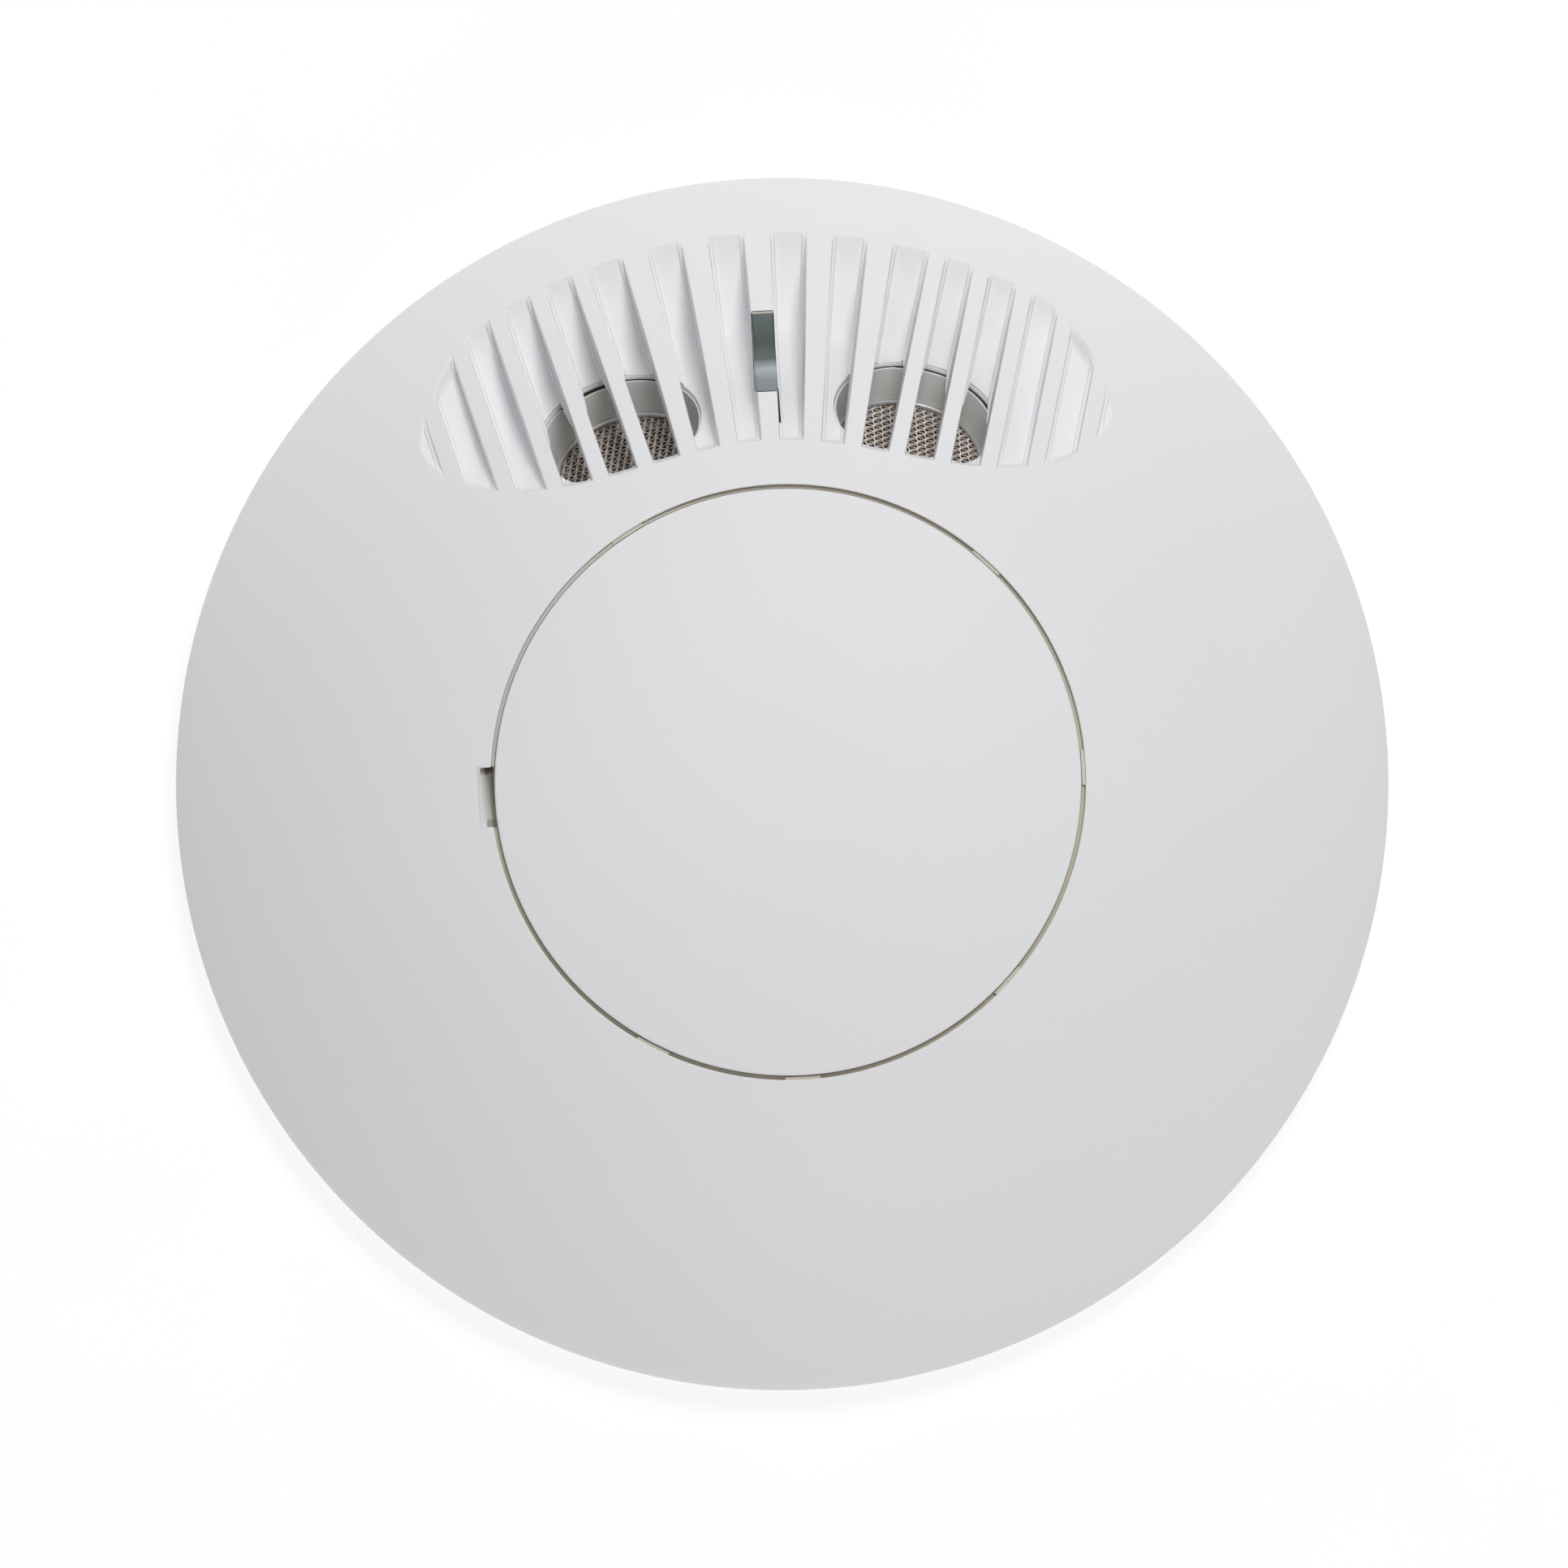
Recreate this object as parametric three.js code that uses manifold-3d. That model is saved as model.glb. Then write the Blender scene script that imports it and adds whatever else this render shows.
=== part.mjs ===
// A ceiling occupancy sensor: a white dome that twists on to a mounting base, with two ultrasonic
// transducers looking out through a ribbed scoop and a snap-off cover over its adjustments.
// It lies dome up. The origin is the centre of the base's back face, +Z points out of the dome
// towards the room, and +Y points from the centre to the scoop. Sizes are in millimetres.
import * as THREE from "three";
import { mergeVertices } from "three/addons/utils/BufferGeometryUtils.js";
import Module from "manifold-3d";

const wasm = await Module();
wasm.setup();

// ---- Driving dimensions ----
const GAP = 0.3; // clearance between pieces that touch or slide

// Dome
const RIM_R = 57.15;
const RIM_Z = 0.3;
const SKIRT_Z = 4.5; // top of the short upright skirt
const CROWN_Z = 34;
const DOME_FLATNESS = 2.4; // how long the crown stays level
const DOME_FALL = 0.8; // how sharply it turns down at the rim
const WALL = 2.2;
const DOME_SEGMENTS = 48;

// Mounting base and twist lock
const BASE_R = 52.5;
const BASE_T = 2.2;
const BASE_OPENING_R = 24;
const BOX_SCREW_SPACINGS = [60.3, 88.9]; // the two common ceiling box spacings
const BOX_SLOT_LENGTH = 7;
const BOX_SLOT_R = 2.1;
const HOOK_ANGLES = [90, 210, 330];
const HOOK_R = 38;
const HOOK_DEPTH = 2.6; // radial
const HOOK_POST = 6; // degrees that the post spans
const HOOK_HEAD = 8; // degrees that the head reaches past it
const HOOK_HEAD_T = 1.6;
const HOOK_SLACK = 0.5; // each side of a hook in its slot
const TWIST = 15; // degrees from locked to free

// Rear cover
const REAR_Z = BASE_T + GAP;
const REAR_T = 1.8;
const REAR_R = RIM_R - WALL - GAP;
const LEAD_OPENING = { x: 17, y0: -14, y1: 12 };
const SHELL_SCREW_R = 47.5; // from the centre to the screws that hold the rear cover
const SHELL_SCREW_ANGLES = [30, 150, 270];
const SHELL_SCREW = { shank: 1.2, hole: 1.5, boss: 3.2, head: 2.6, headT: 1.4, length: 9 };

// Scoop and fins
const SCOOP_LIP_R = 52;
const SCOOP_FLOOR_R = 42;
const SCOOP_FLOOR_Z = 13.9;
const LINER = 1.8;
const FIN_COUNT = 15;
const FAN_REACH = 2; // fins each side of the middle that fan out from one centre
const FAN_PITCH = 4.95; // at y = FIN_DATUM_Y
const FAN_SPREAD = 0.1015; // sideways shift of each further fin for each millimetre outwards
const SIDE_FIN_X = 15;
const SIDE_FIN_PITCH = 4.5;
const SIDE_FIN_ANGLE = 15.3;
const SIDE_FIN_T = 1.6;
const FIN_DATUM_Y = 42;

// Transducers
const MOUTH = { x: 13.9, y: 33.8, z: 20.8 };
const MOUTH_TILT = 51;
const MOUTH_SPLAY = 15;
const MOUTH_R = 7.75;
const SLEEVE_BORE_R = 7.1;
const SLEEVE_R = 8.5;
const SLEEVE_BACK = -12;
const MESH_DEPTH = 3.5;
const CAN_R = 8;
const CAN_T = 8;

// Cover and the control pit below it
const COVER_R = 27.5;
const COVER_T = 1.6;
const SEAT_R = 27.9;
const SEAT_DROP = 2.2;
const SEAT_T = 1.4;
const PIT_R = 18.5;
const DECK_Z = 24;
const DECK_T = 1.8;
const CATCH_ANGLES = [0, 45, 120, 240, 270, 315];
const CATCH = { width: 3.3, thick: 1, length: 3, r: 25.9 };
const NOTCH = { along: 5.6, out: 1.15, depth: 1.6 };

// Boards and what stands on them
const BOARD_T = 1.6;
const MAIN_BOARD_Z = 8.4;
const MAIN_BOARD_R = 44;
const MAIN_TOP = MAIN_BOARD_Z + BOARD_T;
const CONTROL_BOARD_Z = 15.4;
const CONTROL_BOARD_R = 18.6;
const CONTROL_TOP = CONTROL_BOARD_Z + BOARD_T;
const BOARD_SCREWS_AT = [
  [-30, -29],
  [30, -29],
];
const BOARD_SCREW = { shank: 1, hole: 1.3, boardHole: 1.4, boss: 2.8, head: 2.2, headT: 1.6, length: 6 };
const BOSS_TOP = 25; // above the dome's inside wherever a boss stands
const DIALS = { sensitivity: [-7.5, 7], time_delay: [7.5, 7] };
const DIAL = { r: 3.8, z: 21.9, height: 3.7, hole: 4.4, slot: 1, slotLength: 5.2, slotDepth: 1 };
const TRIMMER = { width: 6.8, top: 21.6 };
const SWITCH = { x: 0, y: -6, ways: 8, pitch: 2.54, length: 21.6, width: 6.6, top: 23.7 };
const SLIDER = { width: 1.1, length: 1.4, travel: 1.6, depth: 1.6, proud: 1, slack: 0.15 };
const TERMINALS = { ways: 5, pitch: 5, y0: -12, y1: -4, z0: 0.7, z1: 8.1, length: 26 };
const WIRE_HOLE = { width: 3, depth: 3, z0: 3.6, z1: 6.6 };
const TERMINAL_SCREW = { r: 1.6, hole: 1.9, z: 1.1, length: 1.6, slot: 0.6, slotDepth: 0.5 };
const LIGHT_PIPE = { width: 2.05, y0: 36.75, y1: 44.35, z0: 12.4 };
const LAMP = { width: 2.8, length: 3.2, height: 1.5 };
const TONGUE = { width: 6.8, y0: 17, y1: 43.8 }; // of the main board, out to the lamp
const TRANSDUCER_EDGE_Y = 18; // the main board stops here beside the tongue
const HEADER = { x: 7.6, y0: 12.2, y1: 14.8 };
// Square parts on the main board: [x0, x1, y0, y1, height]
const SQUARE_PARTS = {
  load_relay: ["relay_blue", -37, -22, -12, 7, 9.7],
  voltage_regulator: ["black_plastic", -15, -5, -37, -29, 4.3],
  microcontroller: ["black_plastic", -5, 5, -9, 1, 1.5],
  crystal: ["steel", -14, -9.6, -12, -1, 3.3],
};
// Round parts on the main board: [radius, x, y, height]
const ROUND_PARTS = {
  reservoir_capacitor: ["black_plastic", 5, 30, -12, 10.3],
  filter_capacitor: ["black_plastic", 4, 30, 1, 9.1],
  choke: ["black_plastic", 5, 12, -34, 5.7],
};

// ---- Solids ----
function solid(geometry) {
  const bare = geometry.clone();
  bare.deleteAttribute("normal");
  bare.deleteAttribute("uv");
  const merged = mergeVertices(bare, 1e-4);
  const triVerts = new Uint32Array(merged.index.array);
  const vertProperties = merged.attributes.position.array;
  const made = new wasm.Manifold(new wasm.Mesh({ numProp: 3, vertProperties, triVerts }));
  if (made.volume() > 0) return made;
  for (let i = 0; i < triVerts.length; i += 3) {
    [triVerts[i + 1], triVerts[i + 2]] = [triVerts[i + 2], triVerts[i + 1]];
  }
  return new wasm.Manifold(new wasm.Mesh({ numProp: 3, vertProperties, triVerts }));
}

function block(x0, x1, y0, y1, z0, z1) {
  const box = new THREE.BoxGeometry(x1 - x0, y1 - y0, z1 - z0);
  return solid(box.translate((x0 + x1) / 2, (y0 + y1) / 2, (z0 + z1) / 2));
}

// Turns a closed outline of [radius, height] pairs about Z.
function turned(outline, segments = 32) {
  const points = [...outline, outline[0]].map(([r, z]) => new THREE.Vector2(r, z));
  return solid(new THREE.LatheGeometry(points, segments).rotateX(Math.PI / 2));
}

function rod(r, z0, z1, x = 0, y = 0, segments = 24) {
  const cylinder = new THREE.CylinderGeometry(r, r, z1 - z0, segments).rotateX(Math.PI / 2);
  return solid(cylinder.translate(x, y, (z0 + z1) / 2));
}

function plate(shape, z0, z1, curveSegments = 12) {
  const flat = new THREE.ExtrudeGeometry(shape, {
    depth: z1 - z0,
    bevelEnabled: false,
    curveSegments,
  });
  return solid(flat.translate(0, 0, z0));
}

function placed(piece, matrix) {
  return piece.transform(matrix.elements);
}

function spun(piece, degrees) {
  return placed(piece, new THREE.Matrix4().makeRotationZ(THREE.MathUtils.degToRad(degrees)));
}

function joined(pieces) {
  return pieces.reduce((whole, piece) => whole.add(piece));
}

function cutAway(piece, cutters) {
  return cutters.reduce((rest, cutter) => rest.subtract(cutter), piece);
}

// ---- The scene graph ----
const sensor = new THREE.Group();

const FINISHES = {
  white_plastic: { color: 0xe9e9ec, roughness: 0.55, metalness: 0 },
  grey_elastomer: { color: 0x9a9f9b, roughness: 0.45, metalness: 0 },
  black_plastic: { color: 0x1b1c1e, roughness: 0.5, metalness: 0 },
  smoked_lens: { color: 0x5c6a68, roughness: 0.12, metalness: 0 },
  lamp_resin: { color: 0xd8efe0, roughness: 0.25, metalness: 0 },
  aluminium: { color: 0xc8cacc, roughness: 0.35, metalness: 1 },
  wire_mesh: { color: 0xb9a79a, roughness: 0.4, metalness: 1 },
  steel: { color: 0xa9abad, roughness: 0.35, metalness: 1 },
  ceramic: { color: 0xe8e2d2, roughness: 0.6, metalness: 0 },
  board_green: { color: 0x1f6b3d, roughness: 0.45, metalness: 0 },
  relay_blue: { color: 0x2a57a5, roughness: 0.45, metalness: 0 },
  terminal_green: { color: 0x3f9a54, roughness: 0.5, metalness: 0 },
  switch_red: { color: 0xb5302a, roughness: 0.45, metalness: 0 },
};

function finish(name) {
  return new THREE.MeshStandardMaterial(FINISHES[name]);
}

function add(name, finishName, piece, parent = sensor) {
  const { vertProperties, triVerts } = piece.getMesh();
  const geometry = new THREE.BufferGeometry();
  geometry.setAttribute("position", new THREE.BufferAttribute(vertProperties, 3));
  geometry.setIndex(new THREE.BufferAttribute(triVerts, 1));
  geometry.computeVertexNormals();
  const mesh = new THREE.Mesh(geometry, finish(finishName));
  mesh.name = name;
  parent.add(mesh);
  return mesh;
}

// ---- Dome surfaces ----
function domeZ(r, inset = 0) {
  const across = Math.min(1, r / (RIM_R - inset));
  const rise = CROWN_Z - SKIRT_Z - inset;
  return SKIRT_Z + rise * (1 - across ** DOME_FLATNESS) ** DOME_FALL;
}

// Points along the dome from one radius to another, closer together towards the rim.
function domeArc(r0, r1, drop, steps, inset = 0) {
  const turn0 = Math.asin(r0 / (RIM_R - inset));
  const turn1 = Math.asin(r1 / (RIM_R - inset));
  const points = [];
  for (let i = 0; i <= steps; i++) {
    const r = (RIM_R - inset) * Math.sin(turn0 + ((turn1 - turn0) * i) / steps);
    points.push([r, domeZ(r, inset) - drop]);
  }
  return points;
}

const domeOutline = [...domeArc(0, RIM_R, 0, 12), [RIM_R, RIM_Z], [0, RIM_Z]];
const domeSolid = turned(domeOutline, DOME_SEGMENTS);
const hollowOutline = [...domeArc(0, RIM_R - WALL, 0, 12, WALL), [RIM_R - WALL, -1], [0, -1]];
const hollowSolid = turned(hollowOutline, DOME_SEGMENTS);
const ABOVE = CROWN_Z + 6; // cutters reach clear of the dome

// ---- Scoop: a cut through the dome with a shallow floor, a slanting back wall and fins ----
function scoopOutline(growth) {
  const middle = 40.2;
  const reach = 33;
  const kx = 1 + growth / reach;
  const ky = 1 + growth / (SCOOP_LIP_R - middle);
  const at = (x, y) => [x * kx, middle + (y - middle) * ky];
  const shape = new THREE.Shape();
  shape.moveTo(...at(0, 32.1));
  shape.bezierCurveTo(...at(8, 32.1), ...at(15, 28.4), ...at(23.5, 28.4));
  shape.bezierCurveTo(...at(29, 28.4), ...at(reach, 31.2), ...at(reach, 33.4));
  shape.bezierCurveTo(...at(33, 35.6), ...at(29, 43.2), ...at(26.5, 44.74));
  shape.quadraticCurveTo(...at(14.9, SCOOP_LIP_R), ...at(0, SCOOP_LIP_R + 0.2));
  shape.quadraticCurveTo(...at(-14.9, SCOOP_LIP_R), ...at(-26.5, 44.74));
  shape.bezierCurveTo(...at(-29, 43.2), ...at(-33, 35.6), ...at(-reach, 33.4));
  shape.bezierCurveTo(...at(-reach, 31.2), ...at(-29, 28.4), ...at(-23.5, 28.4));
  shape.bezierCurveTo(...at(-15, 28.4), ...at(-8, 32.1), ...at(0, 32.1));
  return shape;
}

function transducerMatrix(side) {
  const turn = new THREE.Euler(
    THREE.MathUtils.degToRad(-MOUTH_TILT),
    0,
    THREE.MathUtils.degToRad(-side * MOUTH_SPLAY),
    "ZXY",
  );
  const at = new THREE.Vector3(side * MOUTH.x, MOUTH.y, MOUTH.z);
  const one = new THREE.Vector3(1, 1, 1);
  return new THREE.Matrix4().compose(at, new THREE.Quaternion().setFromEuler(turn), one);
}

// Everything behind both mouth planes, set back by the given depth.
function behindMouths(depth) {
  const slab = block(-70, 70, -70, 70, -90, -depth);
  return placed(slab, transducerMatrix(1)).intersect(placed(slab, transducerMatrix(-1)));
}

function aboveFloor(drop) {
  const lip = domeZ(SCOOP_LIP_R) - drop;
  const floor = SCOOP_FLOOR_Z - drop;
  const past = 4; // runs on beyond the lip at the same slope
  const slope = (lip - floor) / (SCOOP_LIP_R - SCOOP_FLOOR_R);
  const end = SCOOP_LIP_R + past;
  return turned(
    [
      [0, floor],
      [SCOOP_FLOOR_R, floor],
      [end, lip + slope * past],
      [end, ABOVE],
      [0, ABOVE],
    ],
    DOME_SEGMENTS,
  );
}

function scoopRoom(growth) {
  const room = plate(scoopOutline(growth), 5, ABOVE, 10);
  return room.intersect(aboveFloor(growth)).subtract(behindMouths(growth));
}

function finX(k, y) {
  const side = Math.abs(k);
  const past = y - FIN_DATUM_Y;
  if (side <= FAN_REACH) return k * (FAN_PITCH + FAN_SPREAD * past);
  const lean = Math.tan(THREE.MathUtils.degToRad(SIDE_FIN_ANGLE));
  return Math.sign(k) * (SIDE_FIN_X + SIDE_FIN_PITCH * (side - FAN_REACH - 1) + lean * past);
}

function finWidth(k, y) {
  return Math.abs(k) <= FAN_REACH ? 1.7 + 0.04 * (y - 32) : SIDE_FIN_T;
}

function fin(k) {
  const [inner, outer] = [26, 54];
  const shape = new THREE.Shape();
  shape.moveTo(finX(k, inner) - finWidth(k, inner) / 2, inner);
  shape.lineTo(finX(k, inner) + finWidth(k, inner) / 2, inner);
  shape.lineTo(finX(k, outer) + finWidth(k, outer) / 2, outer);
  shape.lineTo(finX(k, outer) - finWidth(k, outer) / 2, outer);
  return plate(shape, 5, ABOVE);
}

const half = (FIN_COUNT - 1) / 2;
const fins = joined(Array.from({ length: FIN_COUNT }, (_, i) => fin(i - half)));
const mouths = [1, -1].map((side) => placed(rod(MOUTH_R, -5, GAP, 0, 0, 40), transducerMatrix(side)));

// ---- Front housing ----
function shellScrewAt(angle) {
  const turn = THREE.MathUtils.degToRad(angle);
  return [SHELL_SCREW_R * Math.cos(turn), SHELL_SCREW_R * Math.sin(turn)];
}

const shellScrewsAt = SHELL_SCREW_ANGLES.map(shellScrewAt);
const rearTop = REAR_Z + REAR_T;
const shellHoleTop = REAR_Z + SHELL_SCREW.length + 0.4;
const boardHoleTop = MAIN_BOARD_Z + BOARD_SCREW.length + 0.6;
const bosses = [
  ...shellScrewsAt.map(([x, y]) => rod(SHELL_SCREW.boss, rearTop + GAP, BOSS_TOP, x, y)),
  ...BOARD_SCREWS_AT.map(([x, y]) => rod(BOARD_SCREW.boss, MAIN_TOP + GAP, BOSS_TOP, x, y)),
];
const pilotHoles = [
  ...shellScrewsAt.map(([x, y]) => rod(SHELL_SCREW.hole, 0, shellHoleTop, x, y, 12)),
  ...BOARD_SCREWS_AT.map(([x, y]) => rod(BOARD_SCREW.hole, 0, boardHoleTop, x, y, 12)),
];
const seatBacking = turned(
  [
    [0, DECK_Z - DECK_T],
    [PIT_R + SEAT_T, DECK_Z - DECK_T],
    ...domeArc(PIT_R + SEAT_T, SEAT_R + SEAT_T, SEAT_DROP + SEAT_T, 3),
    ...domeArc(0, SEAT_R + SEAT_T, 0.4, 6).reverse(),
  ],
  DOME_SEGMENTS,
);
const seatCut = turned(
  [
    [0, DECK_Z],
    [PIT_R, DECK_Z],
    ...domeArc(PIT_R, SEAT_R, SEAT_DROP, 3),
    [SEAT_R, ABOVE],
    [0, ABOVE],
  ],
  DOME_SEGMENTS,
);
const seatEdgeZ = domeZ(SEAT_R);
const prySlot = block(
  -SEAT_R - NOTCH.out,
  -SEAT_R + 1,
  -NOTCH.along / 2,
  NOTCH.along / 2,
  seatEdgeZ - NOTCH.depth,
  CROWN_Z,
);
const catchSlots = CATCH_ANGLES.map((angle) =>
  spun(
    block(
      CATCH.r - CATCH.thick / 2 - GAP,
      CATCH.r + CATCH.thick / 2 + GAP,
      -CATCH.width / 2 - GAP,
      CATCH.width / 2 + GAP,
      DECK_Z - DECK_T,
      ABOVE,
    ),
    angle,
  ),
);
const deckOpenings = [
  ...Object.values(DIALS).map(([x, y]) => rod(DIAL.hole, CONTROL_TOP, DECK_Z + 1, x, y, 28)),
  block(
    SWITCH.x - SWITCH.length / 2 - GAP,
    SWITCH.x + SWITCH.length / 2 + GAP,
    SWITCH.y - SWITCH.width / 2 - GAP,
    SWITCH.y + SWITCH.width / 2 + GAP,
    CONTROL_TOP,
    DECK_Z + 1,
  ),
];
const pipeSlot = block(
  -LIGHT_PIPE.width / 2 - GAP,
  LIGHT_PIPE.width / 2 + GAP,
  LIGHT_PIPE.y0 - GAP,
  LIGHT_PIPE.y1 + GAP,
  5,
  CROWN_Z,
);
const shell = joined([
  domeSolid.subtract(hollowSolid),
  scoopRoom(LINER).intersect(domeSolid),
  seatBacking,
  ...bosses.map((boss) => boss.intersect(domeSolid)),
]);
const housing = cutAway(shell, [
  scoopRoom(0).subtract(fins),
  seatCut,
  prySlot,
  ...mouths,
  ...catchSlots,
  ...deckOpenings,
  pipeSlot,
  ...pilotHoles,
]);
add("front_housing", "white_plastic", housing);

// ---- Mounting base: a flat ring with box screw slots and three twist-lock hooks ----
function ringPart(r0, r1, start, end, z0, z1) {
  const shape = new THREE.Shape();
  const [a0, a1] = [start, end].map(THREE.MathUtils.degToRad);
  shape.absarc(0, 0, r1, a0, a1, false);
  shape.absarc(0, 0, r0, a1, a0, true);
  return plate(shape, z0, z1, 8);
}

function boxSlot(spacing, angle) {
  const r = spacing / 2;
  const reach = BOX_SLOT_LENGTH / 2 - BOX_SLOT_R;
  const slot = joined([
    rod(BOX_SLOT_R, -1, BASE_T + 1, r, -reach, 16),
    rod(BOX_SLOT_R, -1, BASE_T + 1, r, reach, 16),
    block(r - BOX_SLOT_R, r + BOX_SLOT_R, -reach, reach, -1, BASE_T + 1),
  ]);
  return spun(slot, angle);
}

const hookInner = HOOK_R - HOOK_DEPTH / 2;
const hookOuter = HOOK_R + HOOK_DEPTH / 2;
const hookHeadZ = BASE_T + GAP + REAR_T + GAP;
const hooks = HOOK_ANGLES.map((angle) => {
  const start = angle - HOOK_POST / 2;
  const post = ringPart(hookInner, hookOuter, start, start + HOOK_POST, 0.5, hookHeadZ + HOOK_HEAD_T);
  const end = start + HOOK_POST + HOOK_HEAD;
  return post.add(ringPart(hookInner, hookOuter, start, end, hookHeadZ, hookHeadZ + HOOK_HEAD_T));
});
const slots = BOX_SCREW_SPACINGS.flatMap((spacing) => [0, 180].map((angle) => boxSlot(spacing, angle)));
const basePlate = turned(
  [
    [BASE_OPENING_R, 0],
    [BASE_R, 0],
    [BASE_R, BASE_T],
    [BASE_OPENING_R, BASE_T],
  ],
  DOME_SEGMENTS,
);
add("mounting_base", "white_plastic", joined([cutAway(basePlate, slots), ...hooks]));

// ---- Rear cover: closes the dome's back; the base's hooks pass through its curved slots ----
const hookSlots = HOOK_ANGLES.map((angle) => {
  const slack = 1;
  const start = angle - TWIST - HOOK_POST / 2 - slack;
  const end = angle + HOOK_POST / 2 + slack;
  return ringPart(hookInner - HOOK_SLACK, hookOuter + HOOK_SLACK, start, end, 0, rearTop + 1);
});
const sinkOutline = [
  [0, -1],
  [SHELL_SCREW.head + GAP, -1],
  [SHELL_SCREW.head + GAP, 0],
  [SHELL_SCREW.hole, SHELL_SCREW.headT],
  [SHELL_SCREW.hole, REAR_T + 1],
  [0, REAR_T + 1],
];
const countersinks = shellScrewsAt.map(([x, y]) =>
  placed(turned(sinkOutline, 16), new THREE.Matrix4().makeTranslation(x, y, REAR_Z)),
);
const { x: leadX, y0: leadY0, y1: leadY1 } = LEAD_OPENING;
const leadOpening = block(-leadX, leadX, leadY0, leadY1, 0, rearTop + 1);
const rearDisc = rod(REAR_R, REAR_Z, rearTop, 0, 0, DOME_SEGMENTS);
add("rear_cover", "white_plastic", cutAway(rearDisc, [...hookSlots, ...countersinks, leadOpening]));

// ---- Screws ----
const countersunk = [
  [0, 0.1],
  [SHELL_SCREW.head - 0.1, 0.1],
  [SHELL_SCREW.shank, SHELL_SCREW.headT],
  [SHELL_SCREW.shank, SHELL_SCREW.length],
  [0, SHELL_SCREW.length],
];
const panHead = [
  [0, -BOARD_SCREW.headT],
  [BOARD_SCREW.head, -BOARD_SCREW.headT],
  [BOARD_SCREW.head, 0],
  [BOARD_SCREW.shank, 0],
  [BOARD_SCREW.shank, BOARD_SCREW.length],
  [0, BOARD_SCREW.length],
];
shellScrewsAt.forEach(([x, y], i) => {
  add(`housing_screw_${i + 1}`, "steel", turned(countersunk, 16)).position.set(x, y, REAR_Z);
});
BOARD_SCREWS_AT.forEach(([x, y], i) => {
  add(`board_screw_${i + 1}`, "steel", turned(panHead, 16)).position.set(x, y, MAIN_BOARD_Z - GAP);
});

// ---- Transducers: elastomer sleeve, aluminium can, mesh, ring, cone, bender and pin base ----
const FRONT = -MESH_DEPTH - GAP; // the can's front edge
const BACK = FRONT - CAN_T;
const transducerParts = {
  sleeve: {
    finish: "grey_elastomer",
    outline: [
      [SLEEVE_BORE_R, -0.1],
      [SLEEVE_BORE_R + 0.4, -0.1],
      [SLEEVE_BORE_R + 0.4, -LINER - GAP],
      [SLEEVE_R - 0.7, -LINER - GAP],
      [SLEEVE_R, -LINER - GAP - 1.2],
      [SLEEVE_R, SLEEVE_BACK],
      [CAN_R + 0.15, SLEEVE_BACK],
      [CAN_R + 0.15, FRONT + 0.15],
      [SLEEVE_BORE_R, FRONT + 0.15],
    ],
  },
  can: {
    finish: "aluminium",
    outline: [
      [CAN_R, FRONT],
      [CAN_R, BACK],
      [CAN_R - 0.6, BACK],
      [CAN_R - 0.6, FRONT - 0.4],
      [CAN_R - 1.1, FRONT - 0.4],
      [CAN_R - 1.1, FRONT],
    ],
  },
  mesh: {
    finish: "wire_mesh",
    outline: [
      [0, FRONT - 0.7],
      [CAN_R - 0.8, FRONT - 0.7],
      [CAN_R - 0.8, FRONT - 1.1],
      [0, FRONT - 1.1],
    ],
  },
  mesh_ring: {
    finish: "aluminium",
    outline: [
      [CAN_R - 0.8, FRONT - 1.4],
      [CAN_R - 0.8, FRONT - 2.4],
      [CAN_R - 1.5, FRONT - 2.4],
      [CAN_R - 1.5, FRONT - 1.4],
    ],
  },
  cone: {
    finish: "aluminium",
    outline: [
      [0, FRONT - 4.4],
      [0.8, FRONT - 4.4],
      [4.6, FRONT - 2.6],
      [4.6, FRONT - 2.9],
      [0.9, FRONT - 4.7],
      [0, FRONT - 4.7],
    ],
  },
  bender: {
    finish: "ceramic",
    outline: [
      [0, FRONT - 5],
      [4.8, FRONT - 5],
      [4.8, FRONT - 5.6],
      [0, FRONT - 5.6],
    ],
  },
};

function pinBase() {
  const disc = rod(CAN_R - 0.9, BACK + 0.2, FRONT - 5.9, 0, 0, 28);
  const pins = [-4.6, 4.6].map((x) => rod(0.5, BACK - 2.4, BACK + 1, x, 0, 8));
  return joined([disc, ...pins]);
}

for (const [name, side] of [["transmitter", -1], ["receiver", 1]]) {
  const seat = new THREE.Group();
  seat.applyMatrix4(transducerMatrix(side));
  sensor.add(seat);
  for (const [part, { finish: look, outline }] of Object.entries(transducerParts)) {
    add(`${name}_${part}`, look, turned(outline, 28), seat);
  }
  add(`${name}_pin_base`, "black_plastic", pinBase(), seat);
}

// ---- Indicator: a smoked light pipe in line with the middle fin, and its lamp ----
const pipe = block(
  -LIGHT_PIPE.width / 2,
  LIGHT_PIPE.width / 2,
  LIGHT_PIPE.y0,
  LIGHT_PIPE.y1,
  LIGHT_PIPE.z0,
  CROWN_Z,
);
add("light_pipe", "smoked_lens", pipe.intersect(domeSolid));
const lampY = (LIGHT_PIPE.y0 + LIGHT_PIPE.y1) / 2;
const lamp = block(-LAMP.width / 2, LAMP.width / 2, -LAMP.length / 2, LAMP.length / 2, 0, LAMP.height);
add("indicator_lamp", "lamp_resin", lamp).position.set(0, lampY, MAIN_TOP + GAP);

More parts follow.
